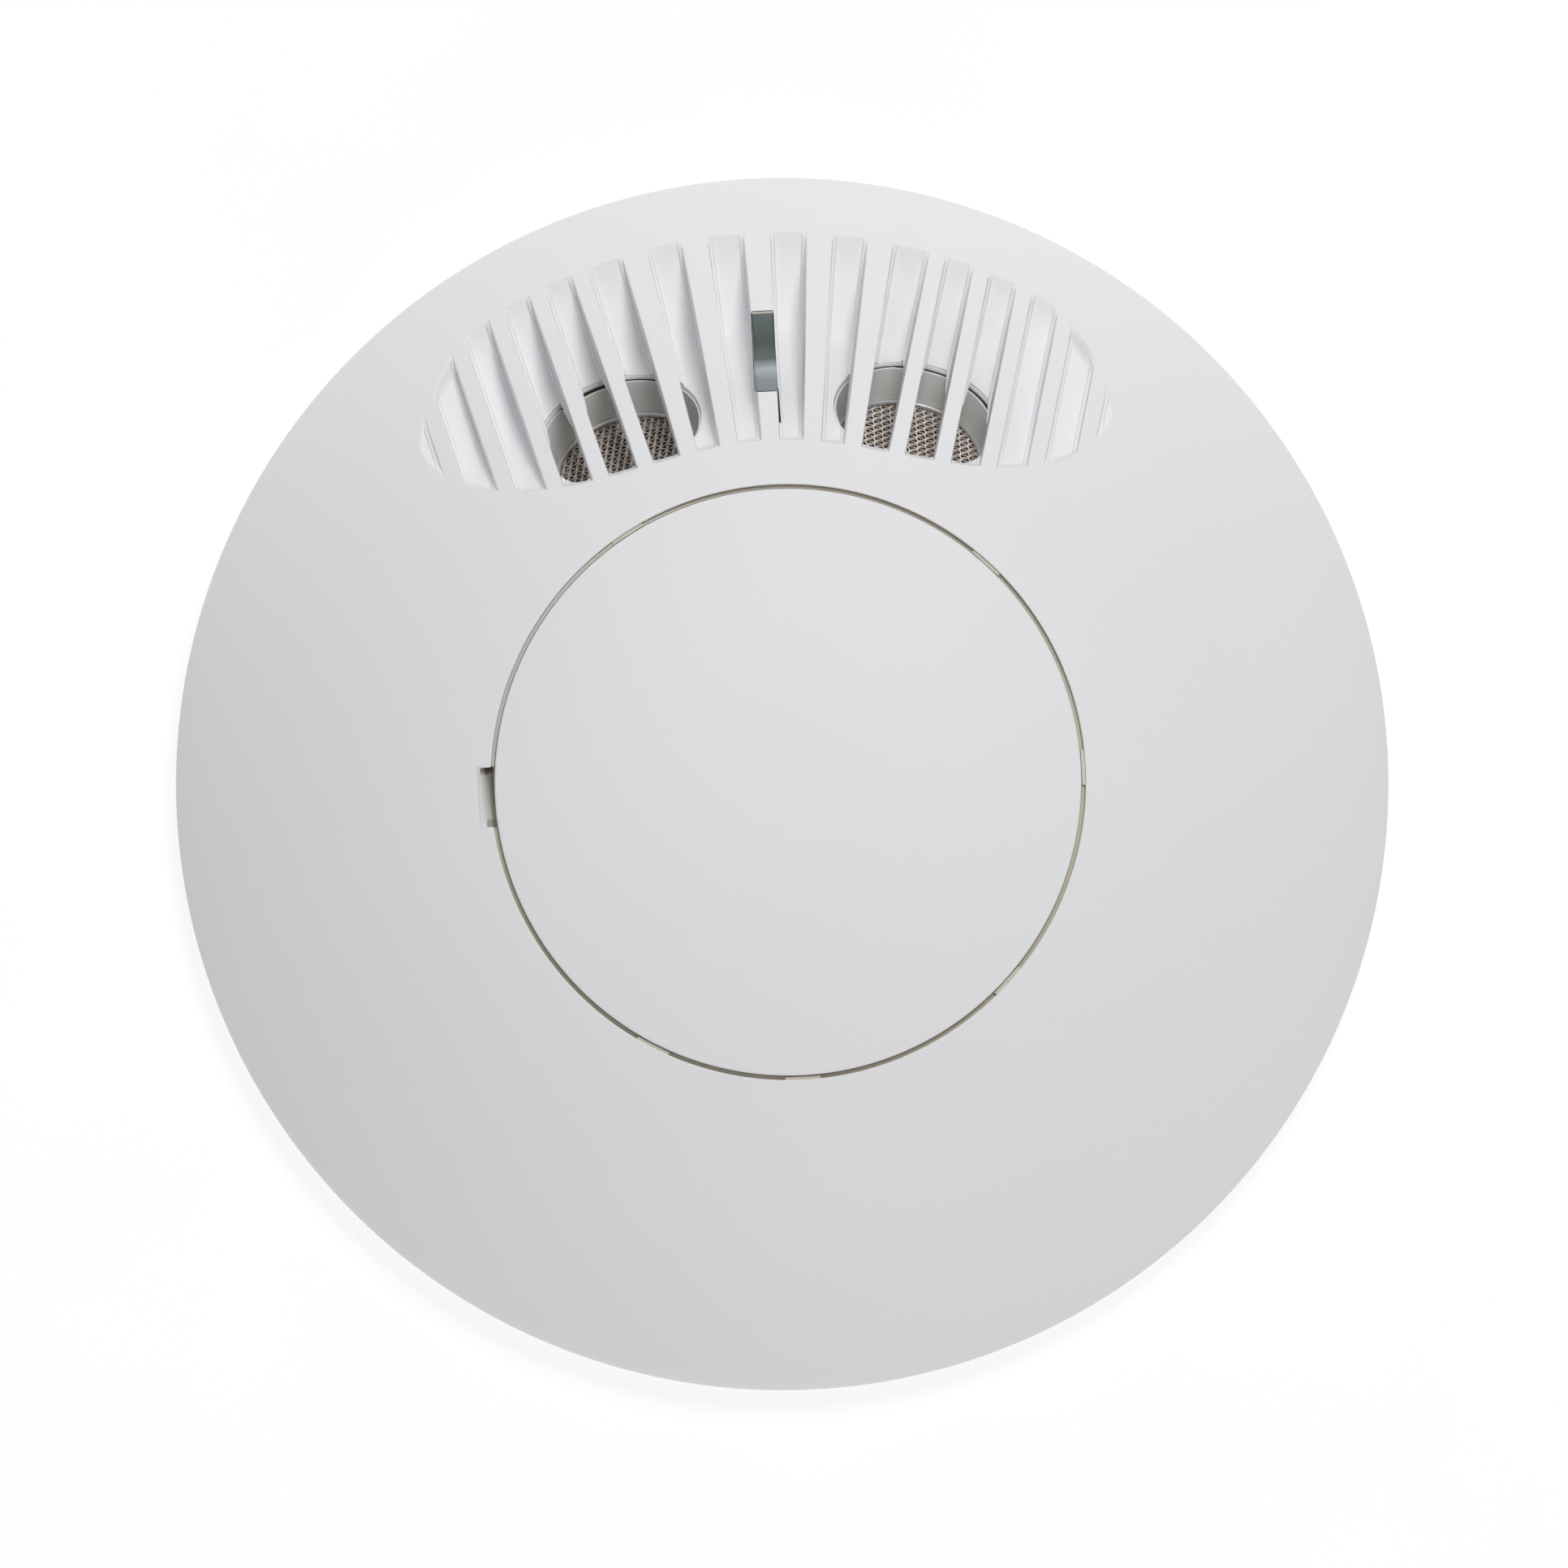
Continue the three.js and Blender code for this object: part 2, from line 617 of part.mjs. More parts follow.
// ---- Boards ----
const { y0: tongueY0, y1: tongueY1 } = TONGUE;
const tongue = block(-TONGUE.width / 2, TONGUE.width / 2, tongueY0, tongueY1, MAIN_BOARD_Z, MAIN_TOP);
const transducerRoom = block(-RIM_R, RIM_R, TRANSDUCER_EDGE_Y, RIM_R, 0, MAIN_TOP + 1);
const boardDisc = rod(MAIN_BOARD_R, MAIN_BOARD_Z, MAIN_TOP, 0, 0, 48);
const boardHoles = BOARD_SCREWS_AT.map(([x, y]) => rod(BOARD_SCREW.boardHole, 0, BOSS_TOP, x, y, 12));
const bossRelief = shellScrewsAt.map(([x, y]) => rod(SHELL_SCREW.boss + 0.8, 0, BOSS_TOP, x, y, 20));
const mainBoard = boardDisc.subtract(transducerRoom).add(tongue);
add("main_board", "board_green", cutAway(mainBoard, [...boardHoles, ...bossRelief]));
const controlBoard = rod(CONTROL_BOARD_R, CONTROL_BOARD_Z, CONTROL_TOP, 0, 0, 40);
add("control_board", "board_green", controlBoard);
const { x: headerX, y0: headerY0, y1: headerY1 } = HEADER;
const header = block(-headerX, headerX, headerY0, headerY1, MAIN_TOP + GAP, CONTROL_BOARD_Z - GAP);
add("board_header", "black_plastic", header);

// ---- Parts on the main board ----
const standOff = MAIN_TOP + GAP;
for (const [name, [look, x0, x1, y0, y1, height]] of Object.entries(SQUARE_PARTS)) {
  add(name, look, block(x0, x1, y0, y1, standOff, standOff + height));
}
for (const [name, [look, r, x, y, height]] of Object.entries(ROUND_PARTS)) {
  add(name, look, rod(r, standOff, standOff + height, x, y));
}

// ---- Terminal block: wire holes on one long side, screws in wells on its back ----
const terminalX = (i) => (i - (TERMINALS.ways - 1) / 2) * TERMINALS.pitch;
const { y0: blockY0, y1: blockY1, z0: blockZ0, z1: blockZ1 } = TERMINALS;
const middleY = (blockY0 + blockY1) / 2;
const wellTop = TERMINAL_SCREW.z + TERMINAL_SCREW.length + GAP;
const terminalCuts = Array.from({ length: TERMINALS.ways }, (_, i) => {
  const x = terminalX(i);
  const [x0, x1] = [x - WIRE_HOLE.width / 2, x + WIRE_HOLE.width / 2];
  const wireHole = block(x0, x1, blockY1 - WIRE_HOLE.depth, blockY1 + 1, WIRE_HOLE.z0, WIRE_HOLE.z1);
  return [wireHole, rod(TERMINAL_SCREW.hole, 0, wellTop, x, middleY, 16)];
}).flat();
const halfBlock = TERMINALS.length / 2;
const terminalBody = block(-halfBlock, halfBlock, blockY0, blockY1, blockZ0, blockZ1);
add("terminal_block", "terminal_green", cutAway(terminalBody, terminalCuts));
const driverSlot = block(
  -TERMINAL_SCREW.r - 1,
  TERMINAL_SCREW.r + 1,
  -TERMINAL_SCREW.slot / 2,
  TERMINAL_SCREW.slot / 2,
  -1,
  TERMINAL_SCREW.slotDepth,
);
for (let i = 0; i < TERMINALS.ways; i++) {
  const screw = rod(TERMINAL_SCREW.r, 0, TERMINAL_SCREW.length, 0, 0, 16).subtract(driverSlot);
  const mesh = add(`terminal_screw_${i + 1}`, "steel", screw);
  mesh.position.set(terminalX(i), middleY, TERMINAL_SCREW.z);
}

// ---- Adjustments: two trimmer dials and a bank of slide switches ----
const halfTrimmer = TRIMMER.width / 2;
const trimmerZ = CONTROL_TOP + GAP;
const dialSlot = block(
  -DIAL.slot / 2,
  DIAL.slot / 2,
  -DIAL.slotLength / 2,
  DIAL.slotLength / 2,
  DIAL.height - DIAL.slotDepth,
  DIAL.height + 1,
);
for (const [name, [x, y]] of Object.entries(DIALS)) {
  const body = block(-halfTrimmer, halfTrimmer, -halfTrimmer, halfTrimmer, 0, TRIMMER.top - trimmerZ);
  add(`${name}_trimmer`, "relay_blue", body).position.set(x, y, trimmerZ);
  const knob = rod(DIAL.r, 0, DIAL.height, 0, 0, 28).subtract(dialSlot);
  add(`${name}_dial`, "white_plastic", knob).position.set(x, y, DIAL.z);
}

const sliderX = (i) => SWITCH.x + (i - (SWITCH.ways - 1) / 2) * SWITCH.pitch;
const halfTrough = (SLIDER.length + SLIDER.travel) / 2 + SLIDER.slack;
const troughs = Array.from({ length: SWITCH.ways }, (_, i) =>
  block(
    sliderX(i) - SLIDER.width / 2 - SLIDER.slack,
    sliderX(i) + SLIDER.width / 2 + SLIDER.slack,
    SWITCH.y - halfTrough,
    SWITCH.y + halfTrough,
    SWITCH.top - SLIDER.depth,
    SWITCH.top + 1,
  ),
);
const switchBody = block(
  SWITCH.x - SWITCH.length / 2,
  SWITCH.x + SWITCH.length / 2,
  SWITCH.y - SWITCH.width / 2,
  SWITCH.y + SWITCH.width / 2,
  CONTROL_TOP + GAP,
  SWITCH.top,
);
add("switch_bank", "switch_red", cutAway(switchBody, troughs));
for (let i = 0; i < SWITCH.ways; i++) {
  const slider = block(
    -SLIDER.width / 2,
    SLIDER.width / 2,
    -SLIDER.length / 2,
    SLIDER.length / 2,
    SWITCH.top - SLIDER.depth + SLIDER.slack,
    SWITCH.top + SLIDER.proud,
  );
  const rest = SWITCH.y - SLIDER.travel / 2;
  add(`switch_slider_${i + 1}`, "white_plastic", slider).position.set(sliderX(i), rest, 0);
}

// ---- Centre cover: follows the dome, with catches that drop into the seat's slots ----
const coverDisc = turned(
  [...domeArc(0, COVER_R, COVER_T, 5), ...domeArc(0, COVER_R, 0, 6).reverse()],
  DOME_SEGMENTS,
);
const catches = CATCH_ANGLES.map((angle) => {
  const top = domeZ(CATCH.r) - 0.6;
  return spun(
    block(
      CATCH.r - CATCH.thick / 2,
      CATCH.r + CATCH.thick / 2,
      -CATCH.width / 2,
      CATCH.width / 2,
      top - CATCH.length - 1,
      top - 0.4,
    ),
    angle,
  );
});
add("centre_cover", "white_plastic", joined([coverDisc, ...catches]));

export default sensor;
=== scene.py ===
import math

import bmesh
import bpy
import numpy as np
from mathutils import Euler, Matrix, Vector


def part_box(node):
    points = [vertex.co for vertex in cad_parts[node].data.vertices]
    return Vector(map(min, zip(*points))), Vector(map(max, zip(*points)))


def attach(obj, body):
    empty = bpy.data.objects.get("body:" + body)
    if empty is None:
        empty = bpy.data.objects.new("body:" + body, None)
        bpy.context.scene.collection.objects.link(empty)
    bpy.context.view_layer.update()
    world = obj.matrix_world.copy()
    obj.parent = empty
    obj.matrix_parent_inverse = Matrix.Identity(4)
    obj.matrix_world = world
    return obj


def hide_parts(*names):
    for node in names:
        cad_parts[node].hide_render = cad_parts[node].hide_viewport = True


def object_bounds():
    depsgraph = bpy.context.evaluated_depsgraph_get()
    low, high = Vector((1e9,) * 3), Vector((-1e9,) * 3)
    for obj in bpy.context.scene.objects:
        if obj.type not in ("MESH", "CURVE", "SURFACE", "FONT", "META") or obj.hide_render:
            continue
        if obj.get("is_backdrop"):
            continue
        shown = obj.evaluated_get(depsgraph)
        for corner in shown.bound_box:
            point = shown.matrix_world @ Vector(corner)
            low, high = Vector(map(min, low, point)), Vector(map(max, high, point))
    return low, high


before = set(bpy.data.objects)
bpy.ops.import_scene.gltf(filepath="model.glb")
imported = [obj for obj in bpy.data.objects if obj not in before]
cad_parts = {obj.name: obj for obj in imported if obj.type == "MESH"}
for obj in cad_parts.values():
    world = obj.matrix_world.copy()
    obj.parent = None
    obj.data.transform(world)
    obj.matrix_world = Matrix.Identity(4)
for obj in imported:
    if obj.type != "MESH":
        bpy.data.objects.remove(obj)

# ---- Camera, floor and light ----
# The sensor lies dome up on a white table and is seen from straight above through a long lens.
# The light is soft and comes from above, a little beyond the scoop and to its right.
cad_low, cad_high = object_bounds()
MM = 0.001
RIM_R = (cad_high.x - cad_low.x) / 2 / MM
CROWN_Z = cad_high.z / MM
SKIRT_Z = 4.5

VIEW_WIDTH = RIM_R * 2 * 1.2932  # at the table, in millimetres
CAMERA_ROLL = math.radians(2.9)
CAMERA_LEAN = Vector((-0.0207, -0.0069))
CAMERA_DISTANCE = 4.0
SENSOR = 36
page_right = Vector((math.cos(CAMERA_ROLL), -math.sin(CAMERA_ROLL), 0))
page_up = Vector((math.sin(CAMERA_ROLL), math.cos(CAMERA_ROLL), 0))
towards_camera = page_right * CAMERA_LEAN.x + page_up * CAMERA_LEAN.y + Vector((0, 0, 1))
towards_camera.normalize()
camera_up = (page_up - towards_camera * page_up.dot(towards_camera)).normalized()
camera_right = camera_up.cross(towards_camera)
AIM_RIGHT = 0.14
aim = Vector((0, 0, SKIRT_Z * MM)) + camera_right * AIM_RIGHT * MM
camera = bpy.data.objects.new("camera", bpy.data.cameras.new("camera"))
bpy.context.scene.collection.objects.link(camera)
camera.data.sensor_width = SENSOR
camera.data.lens = SENSOR * CAMERA_DISTANCE / (VIEW_WIDTH * MM)
camera.data.clip_end = 50
turn = Matrix((camera_right, camera_up, towards_camera)).transposed()
camera.matrix_world = Matrix.Translation(aim + towards_camera * CAMERA_DISTANCE) @ turn.to_4x4()
bpy.context.scene.camera = camera
bpy.context.scene.view_settings.view_transform = "Standard"


LIGHT_DISTANCE = 1.5


def area_light(name, direction, size, watts):
    data = bpy.data.lights.new(name, "AREA")
    data.shape = "DISK"
    data.size = size
    data.energy = watts
    lamp = bpy.data.objects.new(name, data)
    bpy.context.scene.collection.objects.link(lamp)
    towards = Vector(direction).normalized()
    lamp.location = towards * LIGHT_DISTANCE
    lamp.rotation_mode = "QUATERNION"
    lamp.rotation_quaternion = towards.to_track_quat("Z", "Y")


area_light("key_light", (0.14, 0.38, 0.92), 0.5, 10.5)
area_light("far_light", (0.03, 0.9, 0.42), 0.9, 2.5)
area_light("near_light", (0.03, -0.9, 0.42), 0.9, 4.8)

world = bpy.data.worlds.new("studio")
world.use_nodes = True
bpy.context.scene.world = world
world.node_tree.nodes["Background"].inputs["Color"].default_value = (0.97, 0.98, 1.0, 1)
world.node_tree.nodes["Background"].inputs["Strength"].default_value = 0.27


class Value:
    """An output in a material, so that maths on it is written as Python."""

    def __init__(self, finish, socket):
        self.finish, self.socket = finish, socket

    def maths(self, operation, *operands):
        settings = {"operation": operation}
        return self.finish.node("ShaderNodeMath", settings, dict(enumerate(operands)))

    def __add__(self, other):
        return self.maths("ADD", self, other)

    __radd__ = __add__

    def __sub__(self, other):
        return self.maths("SUBTRACT", self, other)

    def __rsub__(self, other):
        return self.maths("SUBTRACT", other, self)

    def __mul__(self, other):
        return self.maths("MULTIPLY", self, other)

    __rmul__ = __mul__

    def __truediv__(self, other):
        return self.maths("DIVIDE", self, other)

    def root(self):
        return self.maths("SQRT", self)

    def size(self):
        return self.maths("ABSOLUTE", self)

    def most(self, other):
        return self.maths("MAXIMUM", self, other)

    def between(self, low, high):
        """0 below low, 1 above high, and a smooth rise from one to the other."""
        return self.finish.node(
            "ShaderNodeMapRange",
            {"interpolation_type": "SMOOTHSTEP"},
            {"Value": self, "From Min": low, "From Max": high},
        )

    def band(self, a, b, c, d):
        """Rises from a to b, stays at 1, and falls again from c to d."""
        return self.between(a, b) * (1 - self.between(c, d))


class Finish:
    """A material, with its place on the piece in millimetres as at, x, y and z."""

    def __init__(self, name):
        self.material = bpy.data.materials.new(name)
        self.material.use_nodes = True
        self.tree = self.material.node_tree
        self.tree.nodes.clear()
        where = self.node("ShaderNodeTexCoord", output="Object")
        to_mm = {0: where, "Scale": 1 / MM}
        self.at = self.node("ShaderNodeVectorMath", {"operation": "SCALE"}, to_mm)
        self.x, self.y, self.z = (
            self.node("ShaderNodeSeparateXYZ", {}, {0: self.at}, axis) for axis in "XYZ"
        )

    def node(self, kind, settings=None, sockets=None, output=0):
        made = self.tree.nodes.new(kind)
        for name, setting in (settings or {}).items():
            if name == "stops":
                ramp = made.color_ramp.elements
                while len(ramp) < len(setting):
                    ramp.new(0.5)
                for element, (position, colour) in zip(ramp, setting):
                    element.position = position
                    element.color = (*colour, 1)
            else:
                setattr(made, name, setting)
        for name, value in (sockets or {}).items():
            self.feed(made.inputs[name], value)
        return Value(self, made.outputs[output])

    def vector(self, operation, *operands, output=0):
        settings = {"operation": operation}
        return self.node("ShaderNodeVectorMath", settings, dict(enumerate(operands)), output)

    def feed(self, socket, value):
        if isinstance(value, Value):
            self.tree.links.new(value.socket, socket)
        elif isinstance(value, tuple) and socket.type == "RGBA":
            socket.default_value = (*value, 1)
        else:
            socket.default_value = value

    def grain(self, scale, detail=3, roughness=0.5, stretch=None):
        """Noise from 0 to 1 with scale features to a millimetre."""
        at = self.at
        if stretch:
            at = self.vector("MULTIPLY", at, stretch)
        sockets = {"Vector": at, "Scale": scale, "Detail": detail, "Roughness": roughness}
        return self.node("ShaderNodeTexNoise", {}, sockets)

    def blend(self, share, first, second):
        sockets = {"Factor": share, "A": first, "B": second}
        made = self.tree.nodes.new("ShaderNodeMix")
        made.data_type = "RGBA"
        for name, value in sockets.items():
            socket = next(s for s in made.inputs if s.name == name and s.enabled)
            self.feed(socket, value)
        return Value(self, next(s for s in made.outputs if s.enabled))

    def relief(self, height, depth, strength=1.0):
        """A bump whose height runs over depth millimetres."""
        sockets = {"Height": height, "Distance": depth * MM, "Strength": strength}
        return self.node("ShaderNodeBump", {}, sockets)

    def coat(self, **sockets):
        """Ends the material in its surface; the names are its sockets with underscores."""
        shader = self.tree.nodes.new("ShaderNodeBsdfPrincipled")
        for name, value in sockets.items():
            self.feed(shader.inputs[name.replace("_", " ")], value)
        end = self.tree.nodes.new("ShaderNodeOutputMaterial")
        self.tree.links.new(shader.outputs[0], end.inputs[0])
        return self.material


table = Finish("white_table")
speckle = table.grain(0.05, 2)
table_paint = table.coat(
    Base_Color=table.blend(speckle, (0.21, 0.21, 0.21), (0.24, 0.24, 0.24)),
    Roughness=0.75 + speckle * 0.1,
    Emission_Color=(1.0, 1.0, 1.0),
    Emission_Strength=0.8,
)
FLOOR_REACH = 8
FLOOR_Z = -0.05 * MM
floor_corners = ((-1, -1), (1, -1), (1, 1), (-1, 1))
floor_corners = [(x * FLOOR_REACH, y * FLOOR_REACH, FLOOR_Z) for x, y in floor_corners]
floor_mesh = bpy.data.meshes.new("floor")
floor_mesh.from_pydata(floor_corners, [], [(0, 1, 2, 3)])
floor_mesh.materials.append(table_paint)
floor = bpy.data.objects.new("floor", floor_mesh)
bpy.context.scene.collection.objects.link(floor)
floor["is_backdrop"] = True

# ---- Front housing ----
# The dome is one white ABS moulding with a spark-eroded matt skin. It has a seat for the centre
# cover, and a scoop at its upper edge whose fins run from the dome down to a slanting back wall.
# Three screws from the back hold it to the rear cover.
WALL = 2.2
DOME_FLATNESS = 2.4
DOME_FALL = 0.8
SEAT_R = 27.9
SEAT_DROP = 2.2
SEAT_T = 1.4
PIT_R = 18.5
DECK_Z = 24.0
DECK_T = 1.8
COVER_R = 27.5
CATCH_ANGLES = (0, 45, 120, 240, 270, 315)
CATCH_R = 25.9
CATCH_W = 3.3
MOUTH = (13.9, 33.8, 20.8)
MOUTH_TILT = math.radians(51)
MOUTH_SPLAY = math.radians(15)
MOUTH_R = 7.75
SCOOP_FLOOR_R = 42
SCOOP_FLOOR_Z = 13.9
SCOOP_LIP_R = 52
LINER = 1.8
ABOVE = CROWN_Z + 4
FINE = 256


def dome_z(r, inset=0.0):
    across = np.minimum(1, np.asarray(r, float) / (RIM_R - inset))
    return SKIRT_Z + (CROWN_Z - SKIRT_Z - inset) * (1 - across**DOME_FLATNESS) ** DOME_FALL


def dome_slope(r):
    across = np.clip(np.asarray(r, float) / RIM_R, 1e-6, 0.99999)
    rise = (CROWN_Z - SKIRT_Z) * DOME_FALL * DOME_FLATNESS / RIM_R
    return -rise * across ** (DOME_FLATNESS - 1) * (1 - across**DOME_FLATNESS) ** (DOME_FALL - 1)


def dome_arc(r0, r1, drop=0.0, steps=24, inset=0.0):
    """Points on the dome from one radius to another, closer together towards the rim."""
    reach = RIM_R - inset
    turns = np.linspace(math.asin(r0 / reach), math.asin(r1 / reach), steps + 1)
    return [(reach * math.sin(t), float(dome_z(reach * math.sin(t), inset)) - drop) for t in turns]


def solid(name, points, faces):
    """A closed mesh in millimetres, its faces turned outwards."""
    mesh = bpy.data.meshes.new(name)
    points = [tuple(map(float, point)) for point in points]
    mesh.from_pydata(points, [], [tuple(map(int, face)) for face in faces])
    shape = bmesh.new()
    shape.from_mesh(mesh)
    bmesh.ops.recalc_face_normals(shape, faces=shape.faces)
    shape.to_mesh(mesh)
    shape.free()
    piece = bpy.data.objects.new(name, mesh)
    bpy.context.scene.collection.objects.link(piece)
    return piece


def turned(name, outline, segments=64):
    """A closed outline of (radius, height) pairs turned about Z."""
    turns = np.arange(segments) * 2 * math.pi / segments
    points, rings = [], []
    for r, z in outline:
        rings.append(len(points))
        count = 1 if r < 1e-9 else segments
        points += [(r * math.cos(t), r * math.sin(t), z) for t in turns[:count]]
    faces = []
    for i, (r0, _) in enumerate(outline):
        j = (i + 1) % len(outline)
        r1 = outline[j][0]
        for k in range(segments):
            n = (k + 1) % segments
            a, b = rings[i], rings[j]
            if r0 > 1e-9 and r1 > 1e-9:
                faces.append((a + k, a + n, b + n, b + k))
            elif r0 > 1e-9:
                faces.append((a + k, a + n, b))
            elif r1 > 1e-9:
                faces.append((a, b + n, b + k))
    return solid(name, points, faces)


def rod(name, r, z0, z1, segments=40, end_r=None):
    """A round rod, or a taper where the radius at its upper end differs."""
    return turned(name, [(0, z0), (r, z0), (end_r or r, z1), (0, z1)], segments)


def eased(outline, steps=4):
    """Rounds the corners of a closed outline; a corner is (x, y) or (x, y, radius)."""
    result = []
    for i, corner in enumerate(outline):
        here = Vector(corner[:2])
        radius = corner[2] if len(corner) > 2 else 0
        before = Vector(outline[i - 1][:2]) - here
        after = Vector(outline[(i + 1) % len(outline)][:2]) - here
        opening = before.angle(after, math.pi) if before.length and after.length else math.pi
        if radius <= 0 or opening > math.radians(179) or opening < math.radians(1):
            result.append(tuple(here))
            continue
        reach = min(radius / math.tan(opening / 2), before.length * 0.49, after.length * 0.49)
        start, end = here + before.normalized() * reach, here + after.normalized() * reach
        for step in range(steps + 1):
            t = step / steps
            result.append(tuple(start * (1 - t) ** 2 + here * 2 * t * (1 - t) + end * t * t))
    return result


def prism(name, outline, z0, z1):
    """A closed outline of (x, y) pairs raised from z0 to z1."""
    count = len(outline)
    points = [(x, y, z) for z in (z0, z1) for x, y in outline]
    sides = [(i, (i + 1) % count, (i + 1) % count + count, i + count) for i in range(count)]
    return solid(name, points, [tuple(range(count)), tuple(range(count, 2 * count)), *sides])


def block(name, low, high, corner=0.0):
    x0, y0, z0 = low
    x1, y1, z1 = high
    outline = [(x0, y0, corner), (x1, y0, corner), (x1, y1, corner), (x0, y1, corner)]
    return prism(name, eased(outline), z0, z1)


def bar(name, centre, half, z0, z1, corner=0.0):
    """A block over a point, from its half width and half depth."""
    (x, y), (a, b) = centre, half
    return block(name, (x - a, y - b, z0), (x + a, y + b, z1), corner)


def move(piece, matrix):
    piece.data.transform(matrix)
    return piece


def put(piece, x, y, z=0.0):
    return move(piece, Matrix.Translation((x, y, z)))


def spin(piece, degrees):
    return move(piece, Matrix.Rotation(math.radians(degrees), 4, "Z"))


def gather(name, pieces):
    """Puts separate shapes into one mesh."""
    shape = bmesh.new()
    for piece in pieces:
        shape.from_mesh(piece.data)
        bpy.data.objects.remove(piece)
    mesh = bpy.data.meshes.new(name)
    shape.to_mesh(mesh)
    shape.free()
    whole = bpy.data.objects.new(name, mesh)
    bpy.context.scene.collection.objects.link(whole)
    return whole


def settle(piece):
    """Applies the piece's modifiers."""
    graph = bpy.context.evaluated_depsgraph_get()
    mesh = bpy.data.meshes.new_from_object(piece.evaluated_get(graph))
    piece.modifiers.clear()
    piece.data = mesh
    return piece


def cut(piece, *others, operation="DIFFERENCE"):
    """Cuts others away from piece, or joins them to it, and uses them up."""
    for other in others:
        step = piece.modifiers.new("cut", "BOOLEAN")
        step.operation = operation
        step.solver = "MANIFOLD"
        step.object = other
    settle(piece)
    for other in others:
        bpy.data.objects.remove(other)
    return piece


def join(piece, *others):
    return cut(piece, *others, operation="UNION")


def soften(piece, width, steps=2, angle=35):
    """Rounds the sharp edges of a simple shape."""
    step = piece.modifiers.new("edges", "BEVEL")
    step.width = width
    step.segments = steps
    step.limit_method = "ANGLE"
    step.angle_limit = math.radians(angle)
    step.use_clamp_overlap = True
    return settle(piece)


def fit(piece, slot_name, material, *nodes, body="head", crease=30):
    """Brings a finished piece from millimetres into the frame and hangs it on its body."""
    piece.data.transform(Matrix.Scale(MM, 4))
    piece.data.materials.clear()
    piece.data.materials.append(material)
    piece.data.shade_smooth()
    piece.data.set_sharp_from_angle(angle=math.radians(crease))
    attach(piece, body)
    if nodes:
        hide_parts(*nodes)
    return piece


def curve(*corners, steps=16):
    """Points along one Bezier curve of any degree."""
    points = []
    for t in np.linspace(0, 1, steps):
        row = [np.array(c, float) for c in corners]
        while len(row) > 1:
            row = [a * (1 - t) + b * t for a, b in zip(row, row[1:])]
        points.append(tuple(row[0]))
    return points


# The right half of the scoop's outline: the edge nearest the cover, then the outer edge.
inner_edge = curve((0, 32.1), (8, 32.1), (15, 28.4), (23.5, 28.4)) + curve(
    (23.5, 28.4), (29, 28.4), (33, 31.2), (33, 33.4)
)
outer_edge = curve((33, 33.4), (33, 35.6), (29, 43.2), (26.5, 44.74)) + curve(
    (26.5, 44.74), (14.9, 52), (0, 52.2)
)
SCOOP_REACH = 33.0


def edge_y(edge, x):
    xs, ys = np.array(sorted(edge)).T
    return np.interp(np.abs(x), xs, ys)


def soft_least(a, b, width):
    """The lesser of two, with the crossing rounded over about width."""
    return (a + b - np.sqrt((a - b) ** 2 + width**2)) / 2


def mouth_matrix(side):
    tilt = Euler((-MOUTH_TILT, 0, 0)).to_matrix()
    splay = Euler((0, 0, -side * MOUTH_SPLAY)).to_matrix()
    return Matrix.Translation((side * MOUTH[0], MOUTH[1], MOUTH[2])) @ (splay @ tilt).to_4x4()


def wall_z(x, y, set_back=0.0):
    """Height of the scoop's back wall: two planes, one square to each transducer."""
    heights = []
    for side in (1, -1):
        axis = mouth_matrix(side).to_3x3() @ Vector((0, 0, 1))
        across = axis.x * (x - side * MOUTH[0]) + axis.y * (y - MOUTH[1])
        heights.append(MOUTH[2] - (across + set_back) / axis.z)
    return soft_least(*heights, 0.6)


def scoop_floor_z(r):
    """Height of the scoop's floor, which is level and then rises to the outer lip."""
    rise = float(dome_z(SCOOP_LIP_R)) - SCOOP_FLOOR_Z
    run = SCOOP_LIP_R - SCOOP_FLOOR_R
    return SCOOP_FLOOR_Z + rise * np.maximum(0, r - SCOOP_FLOOR_R) / run


def groove_z(x, y):
    """The bottom of the grooves, which rises out of the dome's skin at the scoop's outline."""
    r = np.hypot(x, y)
    top = dome_z(r)
    bottom = -soft_least(-scoop_floor_z(r), -wall_z(x, y), 0.5)
    tip = np.clip((np.abs(x) - 22) / (SCOOP_REACH - 22), 0, 1)
    inner_slope = 6 - 4.5 * tip
    inside_inner = (y - edge_y(inner_edge, x)) * inner_slope
    from_end = edge_y(outer_edge, x) + 0.9 - y
    inside_outer = np.where(from_end > 0, 0.25 * from_end**2 + 0.15 * from_end, 0.6 * from_end)
    inside_tip = (SCOOP_REACH + 0.4 - np.abs(x)) * 0.55
    # The inner edge drops steeply, the outer edge runs out slowly, and the tips are shallow.
    depth = soft_least(top - bottom, inside_inner, 0.25)
    depth = soft_least(depth, inside_outer, 0.5)
    depth = soft_least(depth, inside_tip, 1.2)
    return top - depth


FINS = range(-7, 8)
FAN_LAST = 2
FAN_PITCH, FAN_SPREAD = 4.95, 0.1015
OUTER_START, OUTER_PITCH = 15, 4.5
OUTER_SLANT = math.tan(math.radians(15.3))
FIN_MIDDLE_Y = 42


def fin_x(k, y):
    """A fin's middle: the five in the middle fan out from one centre, the rest are parallel."""
    past = y - FIN_MIDDLE_Y
    if abs(k) <= FAN_LAST:
        return k * (FAN_PITCH + FAN_SPREAD * past)
    outwards = OUTER_START + OUTER_PITCH * (abs(k) - FAN_LAST - 1)
    return math.copysign(1, k) * (outwards + OUTER_SLANT * past)


def fin_half(k, y):
    return (1.7 + 0.04 * (y - 32)) / 2 if abs(k) <= FAN_LAST else 0.8


